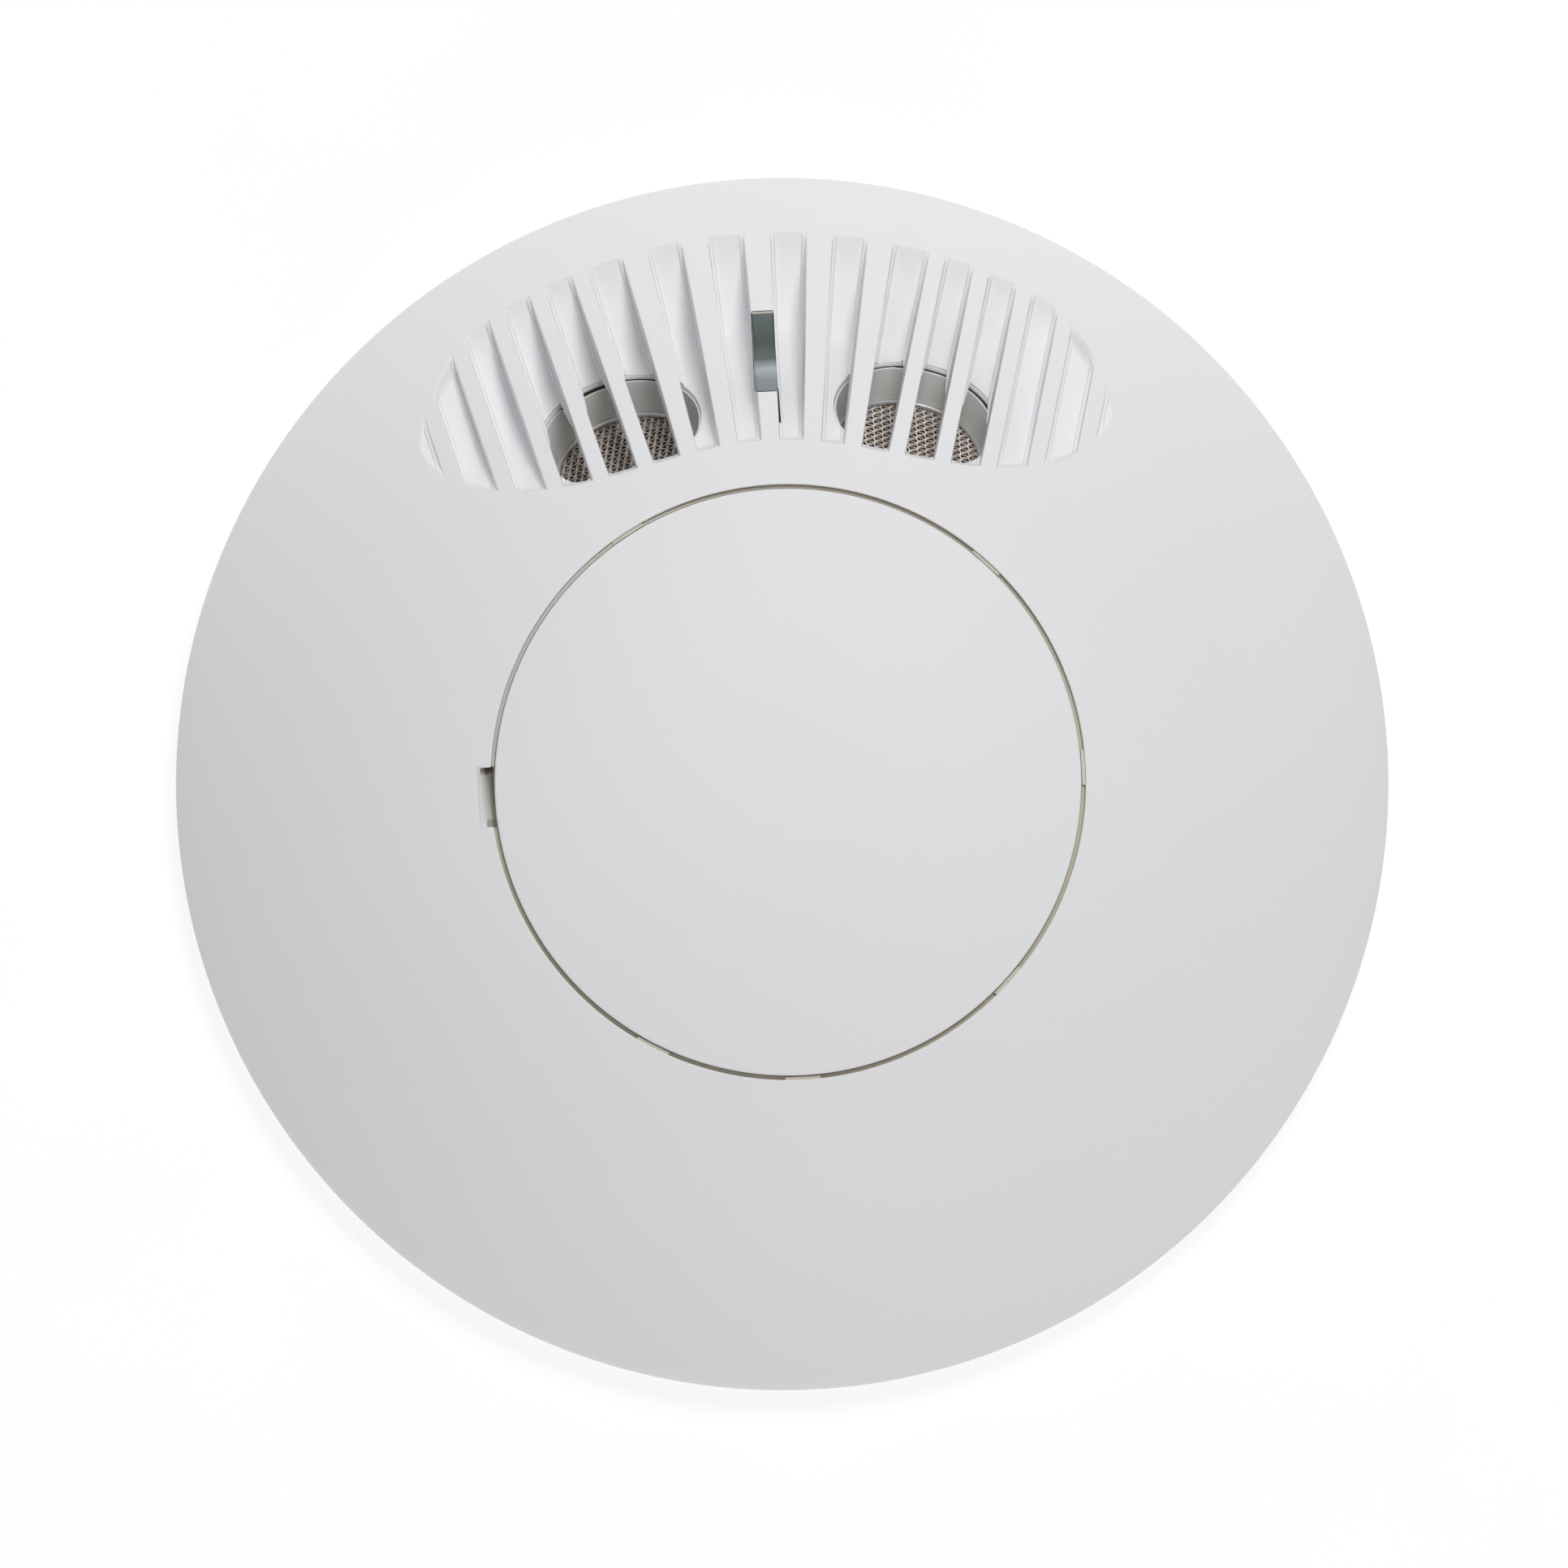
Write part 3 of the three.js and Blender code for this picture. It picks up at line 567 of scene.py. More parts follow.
def between_sheets(name, low, high):
    """The closed solid between two sheets of points, each with the same rows and columns."""
    across, along = low.shape[:2]
    total = across * along
    number = np.arange(total).reshape(across, along)
    quads = [number[:-1, :-1], number[:-1, 1:], number[1:, 1:], number[1:, :-1]]
    quads = np.stack(quads, -1).reshape(-1, 4)
    around = [*number[:, 0], *number[-1, 1:], *number[-2::-1, -1], *number[0, -2:0:-1]]
    sides = [(a, b, b + total, a + total) for a, b in zip(around, around[1:] + around[:1])]
    points = np.concatenate([low.reshape(-1, 3), high.reshape(-1, 3)])
    return solid(name, points, [*quads, *(quads + total), *sides])


FLARE = 0.18
DRAFT = 0.12
FILLET = 0.35
FLOOR_COLUMNS = 8
ON_FLOOR = 3.6


def groove_cutter(left, right):
    """The core that forms the groove between two fins; None stands for past the end fin."""
    rows = [np.linspace(0, 0.16, 26), np.linspace(0.19, 0.8, 26), np.linspace(0.83, 1, 12)]
    rows = np.concatenate(rows)
    # Down a wall: how far in from the fin's flank, how deep, and which part of the wall it is.
    angles = np.radians([19, 38, 58, 78])
    wall = [(-FLARE + FLARE * math.sin(a), FLARE * (1 - math.cos(a)), 0.0) for a in angles]
    wall += [(DRAFT * t, FLARE, t) for t in (0.02, 0.35, 0.68, 1.0)]
    wall += [(DRAFT + FILLET * math.sin(a), FLARE, 2.0 + a) for a in np.radians([20, 40, 62, 90])]
    floor_shares = np.linspace(0, 1, FLOOR_COLUMNS + 2)[1:-1]
    columns = [("left", *place) for place in wall]
    columns += [(share, 0, 0, ON_FLOOR) for share in floor_shares]
    columns += [("right", *place) for place in reversed(wall)]

    def side_x(k, y, sign):
        if k is None:
            return -sign * np.full_like(y, SCOOP_REACH + 2.2)
        return np.array([fin_x(k, v) + sign * fin_half(k, v) for v in y])

    grid = []
    for where, inset, depth, stage in columns:
        y = 40 + (rows - 0.5) * 20
        for _ in range(6):
            x_left, x_right = side_x(left, y, 1), side_x(right, y, -1)
            if where == "left":
                x = x_left + inset
            elif where == "right":
                x = x_right - inset
            else:
                lean = DRAFT + FILLET
                x = x_left + lean + (x_right - x_left - 2 * lean) * where
            start = edge_y(inner_edge, x) - 0.9
            end = edge_y(outer_edge, x) + 1.3
            end = np.maximum(end, start + 2.2)
            y = start + (end - start) * rows
        floor_z = groove_z(x, y)
        top = dome_z(np.hypot(x, y))
        wall_foot = np.maximum(top - floor_z - FLARE - FILLET, 0)
        if stage == 0:
            z = top + 0.02 - depth
        elif stage <= 1:
            z = top - depth - wall_foot * stage
        elif stage < ON_FLOOR:
            z = top - depth - wall_foot - FILLET * (1 - math.cos(stage - 2.0))
        else:
            z = floor_z
        grid.append(np.stack([x, y, np.maximum(z, floor_z)], 1))
    bottom = np.array(grid)
    lid = bottom.copy()
    lid[:, :, 2] = ABOVE
    return between_sheets("groove", bottom, lid)


# A low step closes the foot of the gap round the cover; it stands higher towards one side.
STEP_DROP = 0.95
STEP_RISE = 0.45
RISE_MIDDLE, RISE_REACH, RISE_FADE = 150, 46, 30
shell_outline = [
    (0, DECK_Z),
    *eased(
        [
            (0, DECK_Z), (PIT_R, DECK_Z, 0.3), (PIT_R, float(dome_z(PIT_R)) - SEAT_DROP, 0.3),
            (SEAT_R, float(dome_z(SEAT_R)) - SEAT_DROP),
        ]
    )[1:-1],
    *dome_arc(PIT_R + 0.4, COVER_R - 0.1, SEAT_DROP, 4),
    (COVER_R, float(dome_z(COVER_R)) - SEAT_DROP + 0.1),
    (COVER_R + 0.05, float(dome_z(COVER_R)) - STEP_DROP),
    (SEAT_R, float(dome_z(SEAT_R)) - STEP_DROP), (SEAT_R, float(dome_z(SEAT_R)) - 0.22),
    (SEAT_R + 0.03, float(dome_z(SEAT_R)) - 0.1),
    (SEAT_R + 0.1, float(dome_z(SEAT_R + 0.1)) - 0.02),
    *dome_arc(SEAT_R + 0.2, RIM_R, 0, 90),
    *eased(
        [(RIM_R, SKIRT_Z), (RIM_R, 0.3, 0.5), (RIM_R - WALL, 0.3, 0.4), (RIM_R - WALL, SKIRT_Z)]
    )[1:-1],
    *reversed(dome_arc(SEAT_R + SEAT_T, RIM_R - WALL, 0, 30, WALL)),
    *reversed(dome_arc(PIT_R + SEAT_T, SEAT_R + SEAT_T, SEAT_DROP + SEAT_T, 4)),
    (PIT_R + SEAT_T, DECK_Z - DECK_T), (0, DECK_Z - DECK_T),
]
housing = turned("dome_housing", shell_outline, FINE)


def scoop_liner():
    """The scoop's own wall below the dome, as a lofted tray."""
    margin = 1.6
    x = np.linspace(-SCOOP_REACH - margin, SCOOP_REACH + margin, 61)[:, None]
    share = np.linspace(0, 1, 41)[None, :]
    spare = margin - np.maximum(0, np.abs(x) - SCOOP_REACH) * 0.6
    y0, y1 = edge_y(inner_edge, x) - spare, edge_y(outer_edge, x) + spare * 0.4
    y = y0 + (y1 - y0) * share
    x = x + 0 * y
    r = np.hypot(x, y)
    top = dome_z(r) - 0.8
    under = np.maximum(scoop_floor_z(r), wall_z(x, y, 1.0)) - LINER
    low = np.stack([x, y, np.minimum(under, top - 0.6)], -1)
    return between_sheets("liner", low, np.stack([x, y, top], -1))


for vertex in housing.data.vertices:
    at = vertex.co
    r = math.hypot(at.x, at.y)
    if COVER_R + 0.01 < r < SEAT_R + 0.01 and abs(float(dome_z(r)) - STEP_DROP - at.z) < 0.1:
        away = abs(math.degrees(math.atan2(at.y, at.x)) - RISE_MIDDLE)
        at.z += STEP_RISE * min(1, max(0, (RISE_REACH - away) / RISE_FADE))
join(housing, scoop_liner())


def corners(node):
    """A node's lowest and highest corners, in millimetres."""
    low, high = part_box(node)
    return low / MM, high / MM


def middle(node):
    low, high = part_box(node)
    return (low + high) / 2 / MM


SHELL_BOSS = (1.5, 3.2, 4.6)
BOARD_BOSS = (1.3, 2.8, 10.3)
bosses = []
for node, (bore_r, boss_r, boss_z) in (
    *((f"housing_screw_{n}", SHELL_BOSS) for n in (1, 2, 3)),
    *((f"board_screw_{n}", BOARD_BOSS) for n in (1, 2)),
):
    at = middle(node)
    reach = math.hypot(at.x, at.y)
    boss_top = float(dome_z(reach)) - WALL
    side = [(bore_r, boss_z, 0.2), (boss_r, boss_z, 0.3), (boss_r, boss_top), (bore_r, boss_top)]
    boss = put(turned("boss", eased(side), 32), at.x, at.y)
    lean = dome_slope(reach)
    for vertex in boss.data.vertices:
        if vertex.co.z > boss_top - 0.01:
            vertex.co.z += float(lean) * (math.hypot(vertex.co.x, vertex.co.y) - reach) + 0.9
    bosses.append(boss)
join(housing, gather("bosses", bosses))

# Small ribs on the seat's wall at each catch, which close the gap to the cover there.
ribs = []
seat_edge = float(dome_z(SEAT_R))
for angle in CATCH_ANGLES:
    rib_low = (COVER_R + 0.06, -CATCH_W / 2, seat_edge - 2.0)
    rib_high = (SEAT_R + 0.5, CATCH_W / 2, seat_edge - 0.42)
    ribs.append(spin(block("rib", rib_low, rib_high), angle))
join(housing, gather("ribs", ribs))

edges = [None, *FINS, None]
cut(housing, gather("grooves", [groove_cutter(a, b) for a, b in zip(edges, edges[1:])]))

mouth_side = [(0, -6), (MOUTH_R, -6), (MOUTH_R, -0.2), (MOUTH_R + 0.04, -0.06)]
mouth_side += [(MOUTH_R + 0.12, 0.02), (MOUTH_R + 0.12, 0.3), (0, 0.3)]
mouth_cores = [move(turned("mouth", mouth_side, 128), mouth_matrix(side)) for side in (1, -1)]
pipe_low, pipe_high = corners("light_pipe")
PIPE_CLEARANCE = 0.05
pipe_slot = block(
    "pipe_slot",
    (pipe_low.x - PIPE_CLEARANCE, pipe_low.y - PIPE_CLEARANCE, 5),
    (pipe_high.x + PIPE_CLEARANCE, pipe_high.y + PIPE_CLEARANCE, ABOVE),
    0.25,
)
SLIT = (0.96, pipe_low.y - 3.0, 1.14, pipe_low.y + 0.3)
drain_slit = block("drain_slit", (SLIT[0], SLIT[1], 17), (SLIT[2], SLIT[3], ABOVE), 0.06)
NOTCH_HALF = 2.8
notch_low = (-SEAT_R - 0.85, -NOTCH_HALF, seat_edge - 1.6)
pry_notch = block("pry_notch", notch_low, (-SEAT_R + 1, NOTCH_HALF, ABOVE), 0.25)
catch_slots = []
for angle in CATCH_ANGLES:
    catch_slot = bar("catch_slot", (CATCH_R, 0), (0.8, CATCH_W / 2 + 0.3), DECK_Z - 3, ABOVE, 0.2)
    catch_slots.append(spin(catch_slot, angle))
dial_side = [(0, 17), (4.4, 17), (4.4, DECK_Z - 0.35), (4.65, DECK_Z + 0.02)]
dial_side += [(4.65, DECK_Z + 1), (0, DECK_Z + 1)]
dial_holes = []
for node in ("sensitivity_dial", "time_delay_dial"):
    at = middle(node)
    dial_holes.append(put(turned("dial_hole", dial_side), at.x, at.y))
bank_low, bank_high = corners("switch_bank")
window_low = (bank_low.x - 0.3, bank_low.y - 0.3, 17)
window_high = (bank_high.x + 0.3, bank_high.y + 0.3, DECK_Z + 1)
bank_window = block("bank_window", window_low, window_high, 0.3)
cut(housing, *mouth_cores)
cut(housing, pipe_slot, drain_slit, pry_notch)
cut(housing, gather("catch_slots", catch_slots), gather("dial_holes", dial_holes), bank_window)

SKIN_TOLERANCE = 0.012


def dome_normals(piece):
    """Gives the faces that lie on the dome's own skin the normals of the true dome."""
    mesh = piece.data
    corners = len(mesh.loops)
    vertex = np.zeros(corners, np.int32)
    mesh.loops.foreach_get("vertex_index", vertex)
    at = np.zeros(len(mesh.vertices) * 3, np.float32)
    mesh.vertices.foreach_get("co", at)
    here = at.reshape(-1, 3)[vertex] / MM
    normal = np.zeros(corners * 3, np.float32)
    mesh.corner_normals.foreach_get("vector", normal)
    normal = normal.reshape(-1, 3)
    starts = np.zeros(len(mesh.polygons), np.int32)
    mesh.polygons.foreach_get("loop_start", starts)
    r = np.hypot(here[:, 0], here[:, 1])
    slope = dome_slope(r) / np.maximum(r, 1e-6)
    true = np.stack([-slope * here[:, 0], -slope * here[:, 1], np.ones(corners)], 1)
    true /= np.linalg.norm(true, axis=1, keepdims=True)
    off_dome = np.maximum.reduceat(np.abs(here[:, 2] - dome_z(r)), starts)
    on_skin = np.repeat(off_dome, np.diff([*starts, corners])) < SKIN_TOLERANCE
    on_skin &= r < RIM_R - 0.6
    normal[on_skin] = true[on_skin]
    mesh.normals_split_custom_set(normal.tolist())


white = Finish("matt_white_abs")
skin = white.grain(9, 2, 0.6)
clouds = white.grain(0.035, 2)
mottle = white.grain(0.7, 3)
radius = (white.x * white.x + white.y * white.y).root()
# Painted shade with some dust darkens the gap round the cover, greyer towards one side, and
# painted shade is deepest in the notch.
rim_gap = radius.band(COVER_R + 0.01, COVER_R + 0.03, SEAT_R + 0.02, SEAT_R + 0.05)
below_skin = white.z.band(seat_edge - 2.8, seat_edge - 2.3, seat_edge - 0.45, seat_edge - 0.2)
gap_dust_and_shade = rim_gap * below_skin * (0.75 + clouds * 0.5)
outward = white.x * -1
greyer = outward.between(15, 23) * white.y.between(2, 5)
notch_box = outward.band(COVER_R + 0.02, COVER_R + 0.04, COVER_R + 1.5, COVER_R + 1.6)
notch_box = notch_box * (1 - white.y.size().between(NOTCH_HALF + 0.05, NOTCH_HALF + 0.15))
notch_depth = (1 - outward.between(COVER_R + 0.35, COVER_R + 1.3)) * 0.75 + 0.25
notch_shade = notch_box * below_skin * notch_depth * white.y.between(-6.5, 3.4) * 0.95
# Painted shade in the pry notch, darkest in its inner corner.
notch_corner_shade = 1 - outward.between(COVER_R + 0.75, COVER_R + 0.95)
notch_corner_shade = notch_corner_shade * white.y.size().between(1.6, 2.3) * white.y.between(-9, 1.5)
notch_shade = notch_shade.most(notch_box * below_skin * notch_corner_shade)
# Painted shade darkens the housing's bore wall at the joint round each transducer's sleeve, where
# the gap lies in shadow.
joints = []
for side in (-1, 1):
    place = mouth_matrix(side)
    inwards = white.vector("SUBTRACT", white.at, tuple(place.translation))
    axis = tuple(place.to_3x3() @ Vector((0, 0, 1)))
    along = white.vector("DOT_PRODUCT", inwards, axis, output="Value")
    span = white.vector("LENGTH", inwards, output="Value")
    off_axis = (span * span - along * along).root()
    off_joint = off_axis.between(MOUTH_R + 0.1, MOUTH_R + 0.2)
    joints.append(along.band(-7, -6, -0.4, -0.26) * (1 - off_joint))
sleeve_gap_shade = joints[0].most(joints[1])
# Painted shade darkens the slit by the light pipe, but not the skin beside it.
slit_shade = 1 - (white.x - (SLIT[0] + SLIT[2]) / 2).size().between(0.1, 0.13)
slit_shade = slit_shade * (1 - (white.y - (SLIT[1] + SLIT[3]) / 2).size().between(1.68, 1.72))
under_dome = (radius * radius / RIM_R**2) * -11 + CROWN_Z + 0.2 - white.z
slit_shade = slit_shade * under_dome.between(0.0, 0.5)
clean = white.blend(clouds * 0.7 + mottle * 0.3, (0.845, 0.845, 0.862), (0.875, 0.872, 0.883))
# Painted shade with some dust in the gap round the cover, brown on most sides and greyer towards
# one side.
gap_dust_and_shade_colour = white.blend(greyer, (0.64, 0.60, 0.50), (0.52, 0.515, 0.505))
dusty_and_shaded = white.blend(gap_dust_and_shade, clean, gap_dust_and_shade_colour)
# Painted shade in the slit by the light pipe.
dusty_and_shaded = white.blend(slit_shade, dusty_and_shaded, (0.60, 0.50, 0.40))
# Painted shade in the gap round each transducer's sleeve.
shaded = white.blend(sleeve_gap_shade, dusty_and_shaded, (0.09, 0.07, 0.045))
white_abs = white.coat(
    Base_Color=white.blend(notch_shade, shaded, (0.13, 0.115, 0.08)),
    Roughness=0.5 + mottle * 0.12,
    Normal=white.relief(skin, 0.012, 0.35),
    Specular_IOR_Level=0.4,
)

fit(housing, "white_plastic", white_abs, "front_housing", crease=35)
dome_normals(housing)

# ---- Centre cover ----
# A thin ABS disc that carries the dome on over the adjustments. Six moulded catches on its back
# snap into slots in the seat, and a small screwdriver in the notch prises it out.
COVER_T = 1.6
CATCH_T = 1.0


def upright(piece):
    """Stands a flat shape up, so that its y becomes z."""
    return move(piece, Matrix.Rotation(math.radians(90), 4, "X"))


cover_side = [
    *dome_arc(0, COVER_R - 0.16, 0, 60),
    (COVER_R - 0.05, float(dome_z(COVER_R)) - 0.05), (COVER_R, float(dome_z(COVER_R)) - 0.16),
    (COVER_R, float(dome_z(COVER_R)) - COVER_T + 0.15),
    (COVER_R - 0.15, float(dome_z(COVER_R)) - COVER_T),
    *reversed(dome_arc(0, COVER_R - 0.2, COVER_T, 24)),
]
cover = turned("snap_cover", cover_side, FINE)
catches = []
for angle in CATCH_ANGLES:
    root_z = float(dome_z(CATCH_R)) - 1.0
    foot_z = root_z - 3.6
    inner, outer = CATCH_R - CATCH_T / 2, CATCH_R + CATCH_T / 2
    hook = [
        (inner, root_z), (outer, root_z), (outer, foot_z + 1.5), (outer + 0.25, foot_z + 1.1),
        (outer + 0.25, foot_z + 0.9), (outer - 0.3, foot_z, 0.2), (inner, foot_z, 0.3),
    ]
    catches.append(spin(upright(prism("catch", eased(hook, 3), -CATCH_W / 2, CATCH_W / 2)), angle))
join(cover, gather("catches", catches))
fit(cover, "white_plastic", white_abs, "centre_cover", body="cover")
dome_normals(cover)

# ---- Transducers ----
# Two ultrasonic transducers, one sending and one receiving. Each is a drawn aluminium can in a
# soft grey sleeve, with a woven wire guard, a flared cone on a ceramic bender and a pin base.
CAN_R = 8.0
CAN_FRONT = -3.8
CAN_BACK = CAN_FRONT - 8
MESH_R = CAN_R - 0.8
MESH_DEPTH = 0.7
# The wires along and across the weave: radius, how far they sway, and their spacing.
WARP = (0.14, 0.07, 0.66)
WEFT = (0.07, 0.14, 0.52)


def plastic(name, dark, light, roughness=0.45, grain_scale=6.0, depth=0.01, **sockets):
    """A moulded material: a faint cloudiness, and a fine skin in its gloss and relief."""
    made = Finish(name)
    cloud, fine = made.grain(0.4, 3), made.grain(grain_scale, 2, 0.6)
    return made.coat(
        Base_Color=made.blend(cloud, dark, light),
        Roughness=roughness + (fine - 0.5) * 0.12,
        Normal=made.relief(fine, depth, 0.4),
        **sockets,
    )


def metal(name, dark, light, roughness=0.3, stretch=(1, 1, 1), scale=4.0, depth=0.004):
    """A bare metal with the fine marks of drawing, rolling or turning."""
    made = Finish(name)
    marks = made.grain(scale, 4, 0.6, stretch)
    return made.coat(
        Base_Color=made.blend(marks, dark, light),
        Roughness=roughness + marks * 0.15,
        Metallic=1.0,
        Normal=made.relief(marks, depth, 0.5),
    )


grey_sleeve = plastic("grey_elastomer", (0.70, 0.725, 0.70), (0.76, 0.78, 0.755), 0.36, 5.0, 0.006)
drawn_aluminium = metal("drawn_aluminium", (0.80, 0.81, 0.83), (0.90, 0.90, 0.92), 0.42, (1, 1, 6))
# The cone's aluminium is painted near black-brown as painted shade behind the wire guard.
cone_metal_painted_shade = metal("spun_cone_painted_shade", (0.12, 0.10, 0.08), (0.17, 0.145, 0.12), 0.45)
black_base = plastic("black_pin_base", (0.012, 0.012, 0.013), (0.02, 0.02, 0.021), 0.5)
fired_ceramic = plastic("fired_ceramic", (0.16, 0.13, 0.10), (0.21, 0.17, 0.13), 0.6, 9.0)

wire = Finish("woven_wire")
wire_marks = wire.grain(1.3, 3)
wire_metal = wire.coat(
    Base_Color=wire.blend(wire_marks, (0.74, 0.64, 0.57), (0.92, 0.85, 0.79)),
    Roughness=0.4 + wire_marks * 0.12,
    Metallic=0.3,
    Normal=wire.relief(wire.grain(14, 2), 0.004, 0.4),
)


def woven_guard(name, turn_degrees):
    """Wires that pass over and under each other, cut to a disc."""
    sides, per_pitch = 8, 6
    ring = np.arange(sides) * 2 * math.pi / sides
    points, faces = [], []
    for way, (wire_r, sway, pitch) in enumerate((WARP, WEFT)):
        crossing = (WEFT, WARP)[way][2]
        count = int(2 * MESH_R / pitch)
        for i in range(count):
            across = (i + 0.5 - count / 2) * pitch
            reach = math.sqrt(MESH_R**2 - across**2) - wire_r
            if reach < crossing:
                continue
            steps = max(4, int(2 * reach / crossing * per_pitch))
            along = np.linspace(-reach, reach, steps)
            crossings = int(2 * MESH_R / crossing)
            phase = math.pi * (along / crossing - 0.5 + crossings / 2 + i)
            height = sway * np.cos(phase) * (1 if way == 0 else -1)
            lean = np.gradient(height, along)
            start = len(points)
            for t, h, g in zip(along, height, lean):
                up = Vector((-g, 0, 1)).normalized()
                for angle in ring:
                    spot = Vector((t, across + wire_r * math.cos(angle), h))
                    spot += up * wire_r * math.sin(angle)
                    points.append(spot if way == 1 else spot.yxz)
            for k in range(steps - 1):
                for j in range(sides):
                    n = (j + 1) % sides
                    a, b = start + k * sides, start + (k + 1) * sides
                    faces.append((a + j, a + n, b + n, b + j))
            faces.append(tuple(range(start, start + sides)))
            faces.append(tuple(range(start + (steps - 1) * sides, start + steps * sides)))
    guard = spin(solid(name, points, faces), turn_degrees)
    return put(guard, 0, 0, CAN_FRONT - MESH_DEPTH)


SLEEVE_FRONT = -0.28
SLEEVE_REACH = MOUTH_R - 0.03
SHOULDER = -2.3
sleeve_side = eased(
    [
        (7.52, SLEEVE_FRONT, 0.1), (SLEEVE_REACH, SLEEVE_FRONT, 0.06), (SLEEVE_REACH, SHOULDER),
        (7.8, SHOULDER), (8.5, -3.3, 0.3), (8.5, -12, 0.3), (8.15, -12, 0.1),
        (8.15, CAN_FRONT + 0.02), (7.0, CAN_FRONT + 0.02, 0.05),
    ]
)


def slacken(sleeve, slack):
    """Draws the lip in from the mouth, by (from, to, width) in degrees and millimetres."""
    for vertex in sleeve.data.vertices:
        at = vertex.co
        r = math.hypot(at.x, at.y)
        if at.z > SHOULDER - 0.01 and r < SLEEVE_REACH + 0.01:
            angle = math.degrees(math.atan2(at.y, at.x))
            for start, end, width in slack:
                if start <= angle < end:
                    at.xy *= (r - width) / r
    return sleeve


def behind_face(*outline):
    """An eased outline whose heights are given as depths behind the can's face."""
    return eased([(r, CAN_FRONT - depth, *corner) for r, depth, *corner in outline])


can_side = behind_face(
    (CAN_R, 0, 0.35), (CAN_R, 8), (CAN_R - 0.5, 8),
    (CAN_R - 0.5, 0.4), (CAN_R - 1.3, 0.4, 0.1), (CAN_R - 1.3, 0, 0.16),
)
ring_side = behind_face((MESH_R, 1.4, 0.1), (MESH_R, 2.4, 0.1), (6.5, 2.4, 0.1), (6.5, 1.4, 0.2))
cone_front = [(0.8, 4.4), (1.6, 3.5), (3.4, 3.0), (4.6, 2.6)]
cone_back = [(4.65, 2.85), (3.4, 3.25), (1.8, 3.7), (0.95, 4.7)]
cone_side = [(0, CAN_FRONT - 4.4)]
for line in (cone_front, cone_back):
    cone_side += curve(*((r, CAN_FRONT - back) for r, back in line), steps=12)
cone_side.append((0, CAN_FRONT - 4.7))
bender_side = behind_face(
    (0, 5), (3.9, 5, 0.05), (3.9, 5.25), (4.8, 5.25, 0.06), (4.8, 5.6, 0.06), (0, 5.6)
)
base_side = behind_face(
    (0, 5.9), (7.1, 5.9, 0.2), (7.1, 7.8, 0.3), (5.9, 7.8, 0.2), (5.9, 7.5, 0.2), (0, 7.5)
)
for name, side, weave, slack in (
    ("transmitter", -1, -19, [(82, 127, 0.5), (45, 82, 0.2)]),
    ("receiver", 1, -43, [(112, 135, 0.16), (15, 112, 0.26)]),
):
    place = mouth_matrix(side)
    sleeve = slacken(turned(f"{name}_soft_sleeve", sleeve_side, 144), slack)
    parts = {
        "sleeve": (sleeve, "grey_elastomer", grey_sleeve),
        "can": (turned(f"{name}_drawn_can", can_side, 96), "aluminium", drawn_aluminium),
        "mesh": (woven_guard(f"{name}_wire_guard", weave), "wire_mesh", wire_metal),
        "mesh_ring": (turned(f"{name}_guard_ring", ring_side, 96), "aluminium", drawn_aluminium),
        "cone": (turned(f"{name}_flared_cone", cone_side, 64), "aluminium", cone_metal_painted_shade),
        "bender": (turned(f"{name}_ceramic_bender", bender_side, 64), "ceramic", fired_ceramic),
    }
    base = turned(f"{name}_base", base_side, 64)
    for x in (-4.6, 4.6):
        tip, root = CAN_BACK - 2.4, CAN_BACK + 1
        pin_side = [(0, tip), (0.3, tip), (0.5, tip + 0.35), (0.5, root), (0, root)]
        join(base, put(turned("pin", pin_side, 20), x, 0))
    parts["pin_base"] = (base, "black_plastic", black_base)
    for part, (piece, slot_name, finish) in parts.items():
        move(piece, place)
        fit(piece, slot_name, finish, f"{name}_{part}", crease=40)

# ---- Light pipe and lamp ----
# A smoked acrylic light pipe stands in line with the middle fin, flush with the dome, and carries
# the light of a small lamp on the board out to the face. Its light and dark bands are painted
# light.
PIPE_EDGE = 0.14
edge = PIPE_EDGE * (1 - np.cos(np.linspace(0, math.pi / 2, 5)))
half = (pipe_high.x - pipe_low.x) / 2
across = np.concatenate([-half + edge, np.linspace(-half, half, 9)[1:-1], half - edge[::-1]])
along = np.concatenate(
    [pipe_low.y + edge, np.linspace(pipe_low.y, pipe_high.y, 33)[1:-1], pipe_high.y - edge[::-1]]
)
pipe_x, pipe_y = np.meshgrid(np.unique(across), np.unique(along), indexing="ij")
to_side = np.minimum(half - np.abs(pipe_x), PIPE_EDGE)
to_end = np.minimum(np.minimum(pipe_y - pipe_low.y, pipe_high.y - pipe_y), PIPE_EDGE)
squared = [np.maximum(PIPE_EDGE**2 - (PIPE_EDGE - d) ** 2, 0) for d in (to_side, to_end)]
fall = [PIPE_EDGE - np.sqrt(square) for square in squared]
pipe_top = dome_z(np.hypot(pipe_x, pipe_y)) - 0.03 - np.maximum(*fall)
pipe = between_sheets(
    "smoked_light_pipe",
    np.stack([pipe_x, pipe_y, np.full_like(pipe_x, pipe_low.z)], -1),
    np.stack([pipe_x, pipe_y, pipe_top], -1),
)
smoked = Finish("smoked_acrylic")
share = (smoked.y - pipe_low.y) / (pipe_high.y - pipe_low.y)
wander = (smoked.grain(1.2, 2) - 0.5) * 0.06
